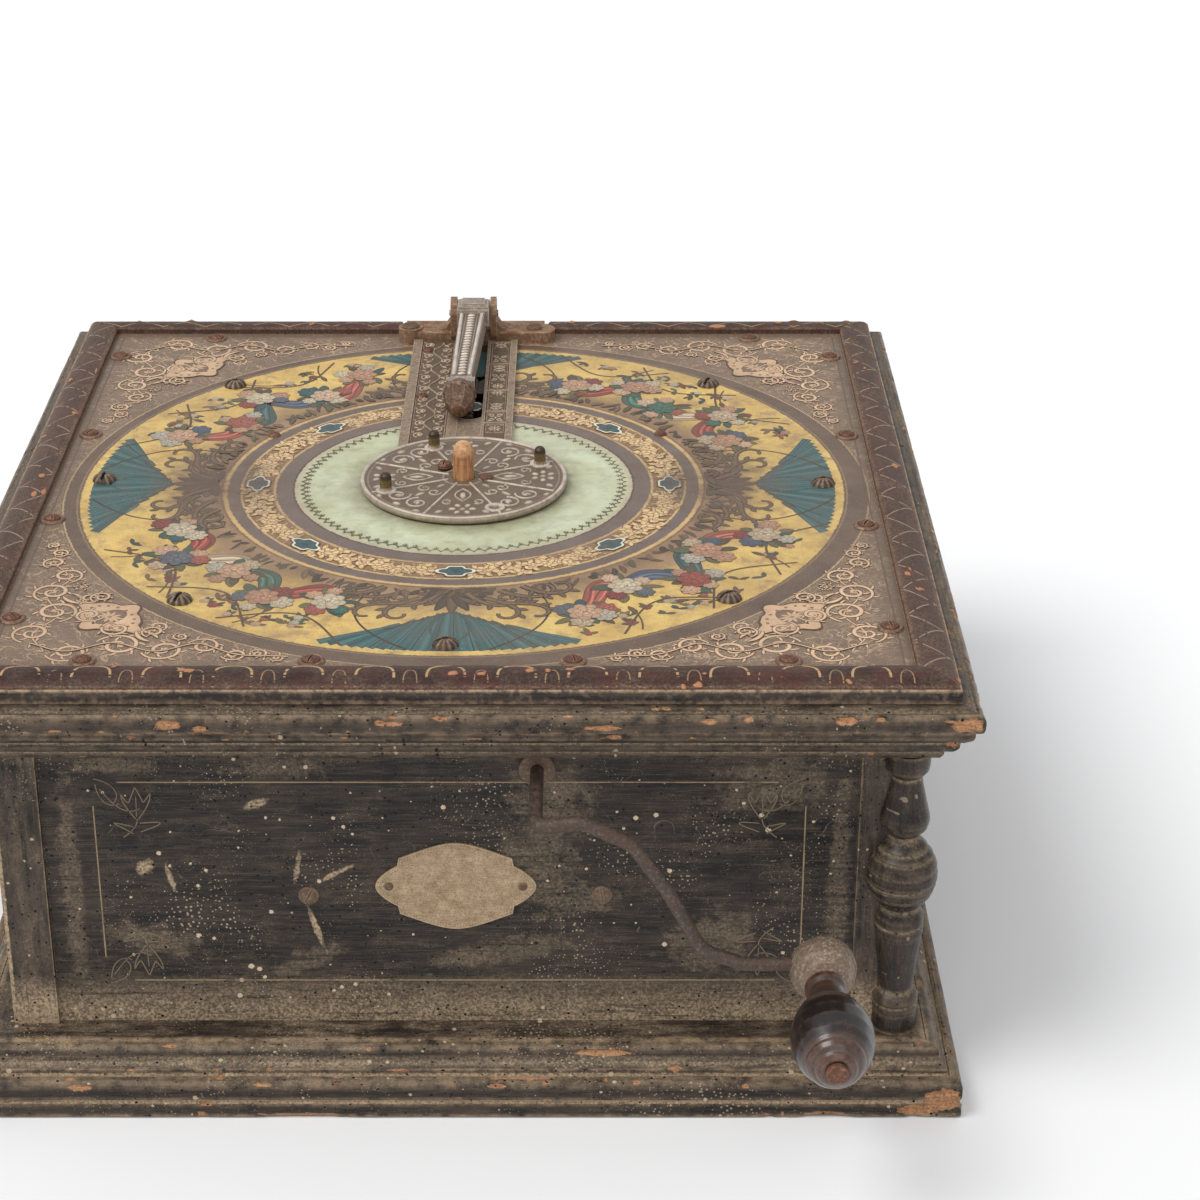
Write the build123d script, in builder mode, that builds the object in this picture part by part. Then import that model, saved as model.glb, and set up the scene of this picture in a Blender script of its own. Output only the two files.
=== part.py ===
from build123d import *
import os
from math import sin, cos, tan, radians, pi

# Hand cranked table organ that plays flat punched card discs.
# Millimetres. Origin: centre of the case's underside. +Z up, the front (crank side) faces -Y.

# ------------------------------------------------------------------ driving dimensions
DEEP = 3.5            # the case is this much deeper (per side) than it is wide
PLINTH_A = 205.1      # half width over the plinth
LEDGE_A = 191.1       # half width of the flat ledge on the plinth
LEDGE_Z = 28.2        # top of that ledge
CASE_A = 179.2        # half width of the case at its corner posts
PANEL_IN = 2.0        # how far the panels stand back from the posts
PANEL_T = 10.0
POST = 18.2
SOFFIT_Z = 156.0      # underside of the cornice
CROWN_A = 204.5       # half width over the cornice
BOARD_Z = 184.2       # underside of the top board
TOP_Z = 190.0         # printed face of the top board
BOARD_A = 196.0
STRIP_IN = 180.4      # inner edge of the raised edge strips
STRIP_A = 195.0
CY = -3.9             # the disc centre lies slightly forward of the case centre
TT_R = 45.4           # turntable radius
PIN_R = 36.3          # circle of the drive pins
SLOT_W = 11.0         # key slot
SLOT_Y0, SLOT_Y1 = 66.5, 172.0
SLOT_END = 167.6      # rear end of the slot in the top board
SHAFT_X, SHAFT_Z = 34.6, 146.8      # crankshaft axis, runs front to back
CRANK_Y = -227.8      # plane of the crank arm
HUB_DX, HUB_DZ = 110.2, -62.7       # crank pin from the shaft axis
PITCH = 2 * pi * 26.0 / 36          # worm pitch for a 36 tooth wheel of 26 mm pitch radius
THROW = 9.0           # crankshaft throw that works the feeder bellows
N_KEYS = 24
KEY_P = 4.1
BIG = 260.0

PLATE_X, PLATE_Z = 1.8, 92.6        # centre of the bare oval plate on the front
NAILS = (PLATE_X - 26.7, PLATE_X + 26.7)
PANEL_SCREWS = ((60.0, 88.1), (-57.0, 87.9))

# screw positions on the top (x, y)
EDGE_POS = [(-174.0, 151.9), (-172.9, 52.2), (-174.3, -42.6), (-174.0, -138.4), (172.9, 151.0), (172.9, 51.0), (172.9, -48.9),
            (173.6, -146.3), (-130.1, 177.0), (134.9, 177.0), (-140.2, -175.5), (-52.1, -175.5), (48.7, -175.5), (131.7, -175.5)]
RING_POS = [(-1.1, -161.3), (-109.8, -121.6), (-158.7, 0.4), (-113.6, 113.6), (112.0, 114.8), (158.0, -3.8), (111.3, -119.9)]
BRACKET_POS = [(-33.2, 174.2), (28.0, 175.4)]
SMALL_POS = [(-23.6, 155.6), (-23.6, 94.8), (-88.9, 51.5), (87.8, 52.9)]

os.makedirs("parts", exist_ok=True)
made = []


def save(bp, label):
    bp.part.label = label
    export_step(bp.part, "parts/%s.step" % label)
    made.append(label)


def mitred(profile, gap=0.03):
    """Four mitred lengths of one moulding: front, back, left, right. profile = [(half width, z)]."""
    out = []
    for side in ("front", "back", "left", "right"):
        g = gap
        if side in ("front", "back"):
            s = -1 if side == "front" else 1
            pts = [(s * (a + DEEP), z) for a, z in profile]
            plane = Plane(origin=(0, 0, 0), x_dir=(0, 1, 0), z_dir=(1, 0, 0))
            region = [(0, s * (DEEP + g)), (BIG, s * (BIG + DEEP + g)), (-BIG, s * (BIG + DEEP + g))]
        else:
            s = -1 if side == "left" else 1
            pts = [(s * a, z) for a, z in profile]
            plane = Plane(origin=(0, 0, 0), x_dir=(1, 0, 0), z_dir=(0, -1, 0))
            region = [(s * g, DEEP), (s * g, -DEEP), (s * (BIG + g), -(BIG + DEEP)), (s * (BIG + g), BIG + DEEP)]
        with BuildPart() as length:
            with BuildSketch(plane):
                with BuildLine():
                    Polyline(*pts, close=True)
                make_face()
            extrude(amount=BIG, both=True)
            with BuildSketch(Plane.XY.offset(-1)):
                with BuildLine():
                    Polyline(*region, close=True)
                make_face()
            extrude(amount=240, mode=Mode.INTERSECT)
        out.append(length.part)
    return out


def box_at(x0, x1, y0, y1, z0, z1, mode=Mode.ADD):
    """A block given by its faces, inside the current part."""
    with BuildSketch(Plane(origin=((x0 + x1) / 2, (y0 + y1) / 2, z0))) as sk:
        Rectangle(x1 - x0, y1 - y0)
    extrude(sk.sketch, amount=z1 - z0, mode=mode)


def rod_y(x, z, r, y0, y1, mode=Mode.ADD):
    with BuildSketch(Plane(origin=(x, y0, z), x_dir=(1, 0, 0), z_dir=(0, 1, 0))) as sk:
        Circle(r)
    extrude(sk.sketch, amount=y1 - y0, mode=mode)


def rod_z(x, y, r, z0, z1, mode=Mode.ADD):
    with BuildSketch(Plane(origin=(x, y, z0))) as sk:
        Circle(r)
    extrude(sk.sketch, amount=z1 - z0, mode=mode)


def rod_x(y, z, r, x0, x1, mode=Mode.ADD):
    with BuildSketch(Plane(origin=(x0, y, z), x_dir=(0, 1, 0), z_dir=(1, 0, 0))) as sk:
        Circle(r)
    extrude(sk.sketch, amount=x1 - x0, mode=mode)


def turned(axis_plane, profile):
    """Solid of revolution about the plane's local Y axis. profile = [(radius, height)]."""
    with BuildSketch(axis_plane) as sk:
        with BuildLine():
            Polyline(*profile, close=True)
        make_face()
    revolve(sk.sketch, axis=Axis(axis_plane.origin, axis_plane.y_dir), revolution_arc=360)


# ------------------------------------------------------------------ base
with BuildPart() as bottom_board:
    box_at(-(LEDGE_A - 0.1), LEDGE_A - 0.1, -(LEDGE_A + DEEP - 0.1), LEDGE_A + DEEP - 0.1, 0, 10)
save(bottom_board, "bottom_board")

ledge = mitred([(165.0, 10.0), (LEDGE_A, 10.0), (LEDGE_A, LEDGE_Z - 0.3), (LEDGE_A - 0.6, LEDGE_Z), (165.0, LEDGE_Z)])
with BuildPart() as plinth_ledge:
    add(ledge)
save(plinth_ledge, "plinth_ledge")

base_mould = mitred([
    (191.2, 0), (204.3, 0), (205.0, 0.7), (205.1, 6.7), (204.4, 7.3), (204.4, 8.0), (205.1, 8.6), (205.1, 14.4),
    (204.6, 15.9), (203.4, 17.0), (201.6, 17.5), (200.4, 17.2), (199.9, 16.5), (199.5, 17.4), (199.3, 19.3),
    (198.2, 20.0), (196.9, 21.2), (196.1, 23.0), (195.8, 25.0), (195.4, 26.6), (194.3, 27.7), (192.8, 28.2), (191.2, 28.2)])
with BuildPart() as plinth_moulding:
    add(base_mould)
save(plinth_moulding, "plinth_moulding")

# ------------------------------------------------------------------ case
CB = CASE_A + DEEP                      # half depth over the posts
with BuildPart() as corner_posts:
    for sx in (-1, 1):
        for sy in (-1, 1):
            x0, x1 = sorted((sx * (CASE_A - POST), sx * CASE_A))
            y0, y1 = sorted((sy * (CB - POST), sy * CB))
            box_at(x0, x1, y0, y1, LEDGE_Z, BOARD_Z)
save(corner_posts, "corner_posts")

PX = CASE_A - POST - 0.02
PY = CB - POST - 0.02
with BuildPart() as front_panel:
    box_at(-PX, PX, -(CB - PANEL_IN), -(CB - PANEL_IN - PANEL_T), LEDGE_Z, BOARD_Z)
    rod_y(SHAFT_X, SHAFT_Z, 5.0, -(CB + 2), -(CB - 20), mode=Mode.SUBTRACT)
    for x, z in PANEL_SCREWS:
        rod_y(x, z, 1.85, -(CB + 2), -(CB - PANEL_IN) + 9.2, mode=Mode.SUBTRACT)
    for x in NAILS:
        rod_y(x, PLATE_Z, 0.93, -(CB + 2), -(CB - PANEL_IN) + 6.2, mode=Mode.SUBTRACT)
save(front_panel, "front_panel")

with BuildPart() as back_panel:
    box_at(-PX, PX, CB - PANEL_IN - PANEL_T, CB - PANEL_IN, LEDGE_Z, BOARD_Z)
save(back_panel, "back_panel")

with BuildPart() as side_panels:
    box_at(CASE_A - PANEL_IN - PANEL_T, CASE_A - PANEL_IN, -PY, PY, LEDGE_Z, BOARD_Z)
    box_at(-(CASE_A - PANEL_IN), -(CASE_A - PANEL_IN - PANEL_T), -PY, PY, LEDGE_Z, BOARD_Z)
save(side_panels, "side_panels")

# three-quarter turned columns that wrap the corner posts; the front left one is lost
COL = [(0, 28.2), (9.3, 28.2), (9.0, 36.8), (9.3, 37.5), (9.3, 39.0), (8.9, 40.5), (9.4, 41.5), (9.4, 43.0), (8.6, 44.7),
       (7.2, 46.0), (6.9, 47.1), (8.1, 60.0), (9.4, 71.9), (9.8, 73.5), (9.8, 76.4), (9.4, 77.2), (9.8, 78.0), (9.8, 81.0),
       (9.0, 82.5), (8.0, 84.5), (8.0, 85.6), (9.2, 87.4), (10.2, 88.5), (12.2, 91.4), (12.2, 92.1), (13.0, 93.5),
       (13.8, 96.3), (13.5, 97.2), (14.2, 98.5), (14.2, 101.4), (13.7, 103.4), (13.9, 104.6), (13.2, 106.6), (11.8, 108.8),
       (11.9, 109.6), (9.5, 112.2), (9.6, 113.0), (8.8, 113.9), (6.6, 116.2), (6.1, 117.9), (7.2, 119.4), (8.9, 121.2),
       (9.2, 122.0), (9.9, 124.5), (9.8, 126.5), (8.3, 133.0), (6.8, 140.0), (6.2, 143.4), (6.0, 144.2), (7.0, 145.4),
       (8.6, 147.5), (9.0, 150.0), (9.2, 155.95), (0, 155.95)]
with BuildPart() as corner_columns:
    for sx, sy in ((1, -1), (1, 1), (-1, 1)):
        turned(Plane(origin=(sx * 178.9, sy * (CB - 0.3), 0), x_dir=(1, 0, 0), z_dir=(0, -1, 0)), COL)
    box_at(-(CASE_A + 0.05), CASE_A + 0.05, -(CB + 0.05), CB + 0.05, 20, 160, mode=Mode.SUBTRACT)
save(corner_columns, "corner_columns")

# ------------------------------------------------------------------ cornice
IN = CASE_A + 0.1
bed = mitred([
    (IN, SOFFIT_Z), (186.7, SOFFIT_Z), (187.6, 156.3), (189.6, 157.4), (190.9, 159.3), (191.1, 160.9), (191.9, 161.3),
    (193.9, 162.4), (195.3, 163.8), (196.1, 165.4), (196.4, 167.7), (197.4, 168.1), (199.2, 169.6), (200.6, 170.9),
    (201.1, 172.2), (201.2, 174.75), (IN, 174.75)])
with BuildPart() as bed_moulding:
    add(bed)
save(bed_moulding, "bed_moulding")

crown = mitred([
    (IN, 174.8), (202.6, 174.8), (203.7, 175.6), (204.3, 177.4), (CROWN_A, 179.4), (204.3, 181.2), (203.6, 182.5),
    (202.6, 183.2), (201.0, 183.2), (200.0, 183.6), (198.8, 184.15), (IN, 184.15)])
with BuildPart() as cornice_moulding:
    add(crown)
save(cornice_moulding, "cornice_moulding")

# ------------------------------------------------------------------ top board with the key slot
BB = BOARD_A + DEEP
with BuildPart() as top_board:
    box_at(-BOARD_A, BOARD_A, -BB, BB, BOARD_Z, TOP_Z)
    fillet(top_board.edges().group_by(Axis.Z)[-1], 0.8)
    rod_z(0, SLOT_Y0 + SLOT_W / 2, SLOT_W / 2 + 0.5, BOARD_Z - 1, TOP_Z + 1, mode=Mode.SUBTRACT)
    box_at(-SLOT_W / 2 - 0.5, SLOT_W / 2 + 0.5, SLOT_Y0 + SLOT_W / 2, SLOT_END, BOARD_Z - 1, TOP_Z + 1, mode=Mode.SUBTRACT)
    rod_z(0, CY, 6.0, BOARD_Z - 1, TOP_Z + 1, mode=Mode.SUBTRACT)
    # pilot holes of the screws
    for x, y in EDGE_POS:
        rod_z(x, y, 1.85, TOP_Z - 5.2, TOP_Z + 1, mode=Mode.SUBTRACT)
    for x, y in RING_POS:
        rod_z(x, y, 2.45, TOP_Z - 5.6, TOP_Z + 1, mode=Mode.SUBTRACT)
    for x, y in BRACKET_POS:
        rod_z(x, y, 2.0, TOP_Z - 5.2, TOP_Z + 1, mode=Mode.SUBTRACT)
    for x, y in SMALL_POS:
        rod_z(x, y, 0.9, TOP_Z - 5.0, TOP_Z + 1, mode=Mode.SUBTRACT)
save(top_board, "top_board")

strip = mitred([
    (STRIP_IN, TOP_Z), (STRIP_IN, 192.4), (181.0, 192.9), (182.4, 193.3), (184.6, 193.6), (187.4, 193.5), (190.0, 193.0),
    (192.2, 192.2), (193.9, 191.3), (STRIP_A, 190.4), (STRIP_A, TOP_Z)])
with BuildPart() as edge_strips:
    add(strip)
    box_at(-38.6, 35.8, 183.0, 200.0, TOP_Z - 1, 196, mode=Mode.SUBTRACT)
save(edge_strips, "edge_strips")

# ------------------------------------------------------------------ screws of the top
with BuildPart() as edge_washers:
    for x, y in EDGE_POS:
        turned(Plane(origin=(x, y, TOP_Z), x_dir=(1, 0, 0), z_dir=(0, -1, 0)),
               [(1.9, 0.0), (5.3, 0.0), (5.3, 0.5), (4.9, 1.0), (4.2, 1.2), (3.4, 0.7), (1.9, 0.4)])
save(edge_washers, "edge_washers")

with BuildPart() as edge_screws:
    for i, (x, y) in enumerate(EDGE_POS):
        turned(Plane(origin=(x, y, TOP_Z), x_dir=(1, 0, 0), z_dir=(0, -1, 0)),
               [(0, -5.0), (1.2, -4.6), (1.8, -2.0), (1.8, 0.45), (3.3, 0.8), (3.1, 1.5), (2.2, 2.1), (1.1, 2.35), (0, 2.4)])
        with BuildSketch(Plane(origin=(x, y, TOP_Z + 1.5))):
            Rectangle(8, 0.7, rotation=23 + 37 * i)
        extrude(amount=2, mode=Mode.SUBTRACT)
save(edge_screws, "edge_screws")

with BuildPart() as ring_screws:
    for i, (x, y) in enumerate(RING_POS):
        turned(Plane(origin=(x, y, TOP_Z), x_dir=(1, 0, 0), z_dir=(0, -1, 0)),
               [(0, -5.5), (1.2, -5.0), (2.4, -2.5), (2.4, 0.0), (5.2, 0.0), (5.2, 0.8), (4.6, 1.9), (3.4, 2.8), (1.8, 3.3), (0, 3.4)])
        with BuildSketch(Plane(origin=(x, y, TOP_Z + 2.0))):
            Rectangle(12, 1.0, rotation=(12, 70, 84, 20, 65, 5, 30)[i])
        extrude(amount=3, mode=Mode.SUBTRACT)
save(ring_screws, "ring_screws")

# ------------------------------------------------------------------ key frame plate over the slot
PL0, PL1, PLB = -31.2, 19.9, 168.0
with BuildPart() as keyframe_plate:
    box_at(PL0, PL1, 20.0, PLB, TOP_Z + 0.02, TOP_Z + 1.8)
    box_at(PL0, -26.8, 20.0, PLB, TOP_Z + 1.0, TOP_Z + 3.0)
    box_at(16.6, PL1, 20.0, PLB, TOP_Z + 1.0, TOP_Z + 3.0)
    box_at(-10.4, -5.5, 20.0, PLB, TOP_Z + 1.0, TOP_Z + 2.5)
    box_at(5.5, 6.9, 20.0, PLB, TOP_Z + 1.0, TOP_Z + 2.7)
    box_at(-10.4, 6.9, 20.0, SLOT_Y0 + 2, TOP_Z + 1.0, TOP_Z + 2.0)
    for y in (61.0, 75.0, 101.5, 136.2, 166.0):
        box_at(6.5, 17.0, y - 0.7, y + 0.7, TOP_Z + 1.0, TOP_Z + 2.5)
    rod_z(0, CY, TT_R + 1.4, TOP_Z - 1, TOP_Z + 6, mode=Mode.SUBTRACT)
    rod_z(0, SLOT_Y0 + SLOT_W / 2, SLOT_W / 2, TOP_Z - 1, TOP_Z + 6, mode=Mode.SUBTRACT)
    box_at(-SLOT_W / 2, SLOT_W / 2, SLOT_Y0 + SLOT_W / 2, SLOT_Y1, TOP_Z - 1, TOP_Z + 6, mode=Mode.SUBTRACT)
    for x, y in SMALL_POS[:2]:
        rod_z(x, y, 0.9, TOP_Z - 1, TOP_Z + 6, mode=Mode.SUBTRACT)
    rod_z(13.6, 160.3, 1.7, TOP_Z - 1, TOP_Z + 6, mode=Mode.SUBTRACT)
    rod_z(13.4, 97.9, 1.7, TOP_Z - 1, TOP_Z + 6, mode=Mode.SUBTRACT)
save(keyframe_plate, "keyframe_plate")

with BuildPart() as small_screws:
    for i, (x, y) in enumerate(SMALL_POS):
        z = TOP_Z + (1.85 if i < 2 else 0.02)
        turned(Plane(origin=(x, y, z), x_dir=(1, 0, 0), z_dir=(0, -1, 0)),
               [(0, -4.5), (0.85, -3.5), (0.85, 0), (2.9, 0), (2.7, 0.7), (1.9, 1.4), (0.9, 1.7), (0, 1.75)])
        with BuildSketch(Plane(origin=(x, y, z + 1.0))):
            Rectangle(8, 0.6, rotation=30 + 50 * i)
        extrude(amount=2, mode=Mode.SUBTRACT)
save(small_screws, "small_screws")

# ------------------------------------------------------------------ bracket and pressure arm
PIN_Y, PIN_Z = 173.5, 205.0
LUG_L0, LUG_L1 = -13.0, -9.7
LUG_R0, LUG_R1 = 6.6, 9.6
with BuildPart() as arm_bracket:
    box_at(-36.0, 33.0, 169.6, 182.0, TOP_Z + 0.02, 196.4)
    box_at(-36.0, 33.0, 181.0, 190.5, TOP_Z + 0.02, 194.6)
    fillet(arm_bracket.edges().group_by(Axis.Z)[-1].filter_by(Axis.X), 1.0)
    rod_z(-33.2, 174.2, 5.9, TOP_Z + 0.02, 197.6)
    rod_z(32.0, 175.4, 6.2, TOP_Z + 0.02, 196.0)
    for x0, x1 in ((LUG_L0, LUG_L1), (LUG_R0, LUG_R1)):
        with BuildSketch(Plane(origin=(x0, 0, 0), x_dir=(0, 1, 0), z_dir=(1, 0, 0))):
            with BuildLine():
                Polyline((167.8, 195.0), (167.2, 206.0), (168.8, 210.8), (172.0, 213.0), (176.0, 212.6), (179.0, 209.6),
                         (180.6, 203.0), (184.0, 196.0), (184.0, 192.0), (169.7, 192.0), close=True)
            make_face()
        extrude(amount=x1 - x0)
    # ramps from the bar up to the lugs
    for x0, x1 in ((LUG_L0 - 8.0, LUG_L0 + 0.5), (LUG_R1 + 8.0, LUG_R1 - 0.5)):
        with BuildSketch(Plane(origin=(0, 171.5, 0), x_dir=(1, 0, 0), z_dir=(0, -1, 0))):
            with BuildLine():
                Polyline((x0, 196.0), ((x0 + 2 * x1) / 3, 198.2), (x1, 202.6), (x1, 194.0), (x0, 194.0), close=True)
            make_face()
        extrude(amount=-8.5)
    rod_x(PIN_Y, PIN_Z, 1.5, -20, 20, mode=Mode.SUBTRACT)
    rod_z(-33.2, 174.2, 2.0, TOP_Z - 1, 199, mode=Mode.SUBTRACT)
    rod_z(28.0, 175.4, 2.0, TOP_Z - 1, 199, mode=Mode.SUBTRACT)
save(arm_bracket, "arm_bracket")

with BuildPart() as bracket_screws:
    for (x, y), z, s in zip(BRACKET_POS, (197.6, 196.4), (4.3, 3.9)):
        turned(Plane(origin=(x, y, z), x_dir=(1, 0, 0), z_dir=(0, -1, 0)),
               [(0, 185.0 - z), (1.2, 185.8 - z), (1.95, 188.0 - z), (1.95, 0.02), (s, 0.02), (s, 0.6), (s - 0.9, 1.3), (0, 1.5)])
        with BuildSketch(Plane(origin=(x, y, z + 0.8))):
            Rectangle(12, 0.8, rotation=15)
        extrude(amount=3, mode=Mode.SUBTRACT)
save(bracket_screws, "bracket_screws")

with BuildPart() as arm_hinge_pin:
    rod_x(PIN_Y, PIN_Z, 1.49, LUG_L0 - 0.8, LUG_R1 + 0.8)
save(arm_hinge_pin, "arm_hinge_pin")

# the bar runs slightly askew, from the pin at the back towards the disc centre
ARM_B, ARM_F = 166.0, 82.0
XB, XF = -1.6, -4.7
# axis of the finial, tipping down towards the disc
KNOB_AXIS = Plane(origin=(XF - 0.2, 78.1, 201.6), x_dir=(1, 0, 0), z_dir=(0, -sin(radians(10)), cos(radians(10))))
with BuildPart() as pressure_arm:
    with BuildSketch(Plane(origin=(0, 0, 0), x_dir=(0, 1, 0), z_dir=(1, 0, 0))):
        with BuildLine():
            Polyline((ARM_F, 196.4), (ARM_F, 205.2), (104.0, 207.0), (ARM_B, 210.4), (ARM_B + 3, 211.2), (ARM_B + 3, 199.2), (ARM_B, 199.0), close=True)
        make_face()
    extrude(amount=20, both=True)
    with BuildSketch(Plane.XY.offset(190)):
        with BuildLine():
            Polyline((XF - 4.7, ARM_F - 1), (XF + 4.7, ARM_F - 1), (XB + 6.2, ARM_B + 4), (XB - 6.2, ARM_B + 4), close=True)
        make_face()
    extrude(amount=30, mode=Mode.INTERSECT)
    # head between the lugs, with a stepped cap
    rod_x(PIN_Y, PIN_Z, 6.6, LUG_L1 + 0.35, LUG_R0 - 0.35)
    box_at(LUG_L1 + 0.35, LUG_R0 - 0.35, 165.5, PIN_Y, 201.0, 211.6)
    box_at(XB - 7.7, XB + 7.7, 159.5, 165.6, 203.5, 211.2)
    box_at(XB - 7.2, XB + 7.2, 160.6, 172.5, 211.0, 212.6)
    box_at(XB - 5.6, XB + 5.6, 162.4, 171.0, 212.4, 213.8)
    # square block that carries the knob
    box_at(XF - 6.6, XF + 6.6, 79.6, 84.2, 195.2, 206.0)
    rod_x(PIN_Y, PIN_Z, 1.56, -20, 20, mode=Mode.SUBTRACT)
    with BuildSketch(Plane(origin=KNOB_AXIS.origin, x_dir=(1, 0, 0), z_dir=KNOB_AXIS.y_dir)):
        Circle(2.05)
    extrude(amount=5.0, mode=Mode.SUBTRACT)
save(pressure_arm, "pressure_arm")

with BuildPart() as arm_felt:
    with BuildSketch(Plane(origin=(0, 0, 0), x_dir=(0, 1, 0), z_dir=(1, 0, 0))):
        with BuildLine():
            Polyline((86.0, 193.9), (86.0, 196.45), (160.0, 198.75), (160.0, 196.5), (156.0, 193.9), close=True)
        make_face()
    extrude(amount=20, both=True)
    with BuildSketch(Plane.XY.offset(190)):
        with BuildLine():
            Polyline((XF - 2.6, 80), (XF + 3.4, 80), (XB + 4.0, 164), (XB - 3.0, 164), close=True)
        make_face()
    extrude(amount=12, mode=Mode.INTERSECT)
save(arm_felt, "arm_felt")

with BuildPart() as arm_knob:
    turned(KNOB_AXIS,
           [(0, 4.0), (2.0, 4.0), (2.0, 0.0), (6.2, 0.0), (6.6, -1.2), (7.8, -2.2), (8.0, -4.0), (7.2, -5.2), (6.9, -6.4), (7.2, -8.2), (7.0, -11.0),
            (6.2, -13.8), (4.9, -15.4), (4.6, -16.4), (3.2, -18.2), (1.5, -19.0), (0, -19.2)])
save(arm_knob, "arm_knob")

# ------------------------------------------------------------------ turntable
RIB0 = 23.7
with BuildPart() as turntable:
    with BuildSketch(Plane(origin=(0, CY, TOP_Z + 0.7))):
        Circle(TT_R)
    extrude(amount=2.9)
    with BuildSketch(Plane(origin=(0, CY, TOP_Z + 3.0))):
        Circle(TT_R)
        Circle(TT_R - 1.7, mode=Mode.SUBTRACT)
    extrude(amount=1.0)
    with BuildSketch(Plane(origin=(0, CY, TOP_Z + 3.5))):
        for k in range(8):
            with Locations(Location((0, 0, 0), (0, 0, RIB0 + 45 * k))):
                with Locations((25.0, 0)):
                    Rectangle(34.0, 0.9)
        Circle(8.2)
    extrude(amount=0.45)
    with BuildSketch(Plane(origin=(0, CY, TOP_Z + 3.0))):
        with PolarLocations(PIN_R, 4, start_angle=RIB0):
            Circle(4.0)
    extrude(amount=1.0)
    with BuildSketch(Plane(origin=(0, CY, TOP_Z))):
        with PolarLocations(PIN_R, 4, start_angle=RIB0):
            Circle(2.6)
        Circle(4.8)
    extrude(amount=8, mode=Mode.SUBTRACT)
    rod_z(-8.7, CY + 9.5, 2.6, TOP_Z, TOP_Z + 8, mode=Mode.SUBTRACT)
    rod_z(9.6, CY - 1.6, 1.6, TOP_Z, TOP_Z + 8, mode=Mode.SUBTRACT)
save(turntable, "turntable")

with BuildPart() as drive_pins:
    for k in (0, 1, 2):
        a = radians(RIB0 + 90 * k)
        turned(Plane(origin=(PIN_R * cos(a), CY + PIN_R * sin(a), TOP_Z), x_dir=(1, 0, 0), z_dir=(0, -1, 0)),
               [(0, 1.2), (2.55, 1.2), (2.55, 9.0), (2.3, 10.4), (1.5, 11.4), (0, 11.7)])
save(drive_pins, "drive_pins")

with BuildPart() as turntable_screws:
    turned(Plane(origin=(-8.7, CY + 9.5, TOP_Z), x_dir=(1, 0, 0), z_dir=(0, -1, 0)),
           [(0, 1.0), (1.6, 1.0), (1.6, 4.2), (3.2, 4.2), (3.1, 5.4), (2.3, 6.5), (1.1, 7.0), (0, 7.1)])
    with BuildSketch(Plane(origin=(-8.7, CY + 9.5, TOP_Z + 6.0))):
        Rectangle(8, 0.7, rotation=75)
    extrude(amount=3, mode=Mode.SUBTRACT)
    turned(Plane(origin=(9.6, CY - 1.6, TOP_Z), x_dir=(1, 0, 0), z_dir=(0, -1, 0)),
           [(0, 1.0), (1.5, 1.0), (1.5, 4.0), (3.1, 4.0), (3.0, 4.7), (2.0, 5.2), (0, 5.4)])
save(turntable_screws, "turntable_screws")

with BuildPart() as centre_peg:
    turned(Plane(origin=(0, CY, 0), x_dir=(1, 0, 0), z_dir=(0, -1, 0)),
           [(0, 191.0), (4.7, 191.0), (4.7, 196.0), (4.75, 204.5), (4.3, 207.4), (3.3, 209.2), (1.8, 210.1), (0, 210.3)])
save(centre_peg, "centre_peg")

# ------------------------------------------------------------------ spindle, worm wheel and their bearings
with BuildPart() as spindle:
    rod_z(0, CY, 4.0, 119.6, 190.9)
save(spindle, "spindle")

with BuildPart() as spindle_bush:
    turned(Plane(origin=(0, CY, 0), x_dir=(1, 0, 0), z_dir=(0, -1, 0)),
           [(4.06, 180.6), (9.0, 180.6), (9.0, 184.1), (5.95, 184.1), (5.95, 190.3), (4.06, 190.3)])
save(spindle_bush, "spindle_bush")

with BuildPart() as worm_wheel:
    with BuildSketch(Plane(origin=(0, CY, SHAFT_Z - 4))):
        Circle(23.9)
        for k in range(36):
            c, d = cos(radians(10 * (k + 0.5))), sin(radians(10 * (k + 0.5)))
            with BuildLine():
                Polyline(*[(r * c - w * d, r * d + w * c) for r, w in
                           ((23.0, -0.95), (25.0, -0.75), (27.1, -0.45), (27.1, 0.45), (25.0, 0.75), (23.0, 0.95))], close=True)
            make_face()
        Circle(4.01, mode=Mode.SUBTRACT)
        with PolarLocations(14.0, 5):
            Circle(5.0, mode=Mode.SUBTRACT)
    extrude(amount=8)
    with BuildSketch(Plane(origin=(0, CY, SHAFT_Z + 4))):
        Circle(8.0)
        Circle(4.01, mode=Mode.SUBTRACT)
    extrude(amount=6)
save(worm_wheel, "worm_wheel")

with BuildPart() as spindle_hanger:
    box_at(-40.0, -36.0, CY - 10, CY + 10, 116.0, BOARD_Z)
    box_at(-40.0, 9.0, CY - 10, CY + 10, 116.0, 121.0)
    box_at(-62.0, -36.0, CY - 10, CY + 10, 180.2, BOARD_Z)
    rod_z(0, CY, 4.06, 119.0, 125.0, mode=Mode.SUBTRACT)
save(spindle_hanger, "spindle_hanger")

# ------------------------------------------------------------------ crank
with BuildPart() as crank_bush:
    rod_y(SHAFT_X, SHAFT_Z, 4.95, -(CB - PANEL_IN) - 0.5, -(CB - PANEL_IN - PANEL_T - 1))
    rod_y(SHAFT_X, SHAFT_Z, 7.2, -(CB + 1.2), -(CB - PANEL_IN + 0.02))
    fillet(crank_bush.edges().group_by(Axis.Y)[0], 0.8)
    rod_y(SHAFT_X, SHAFT_Z, 2.78, -(CB + 5), -(CB - 20), mode=Mode.SUBTRACT)
save(crank_bush, "crank_bush")

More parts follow.
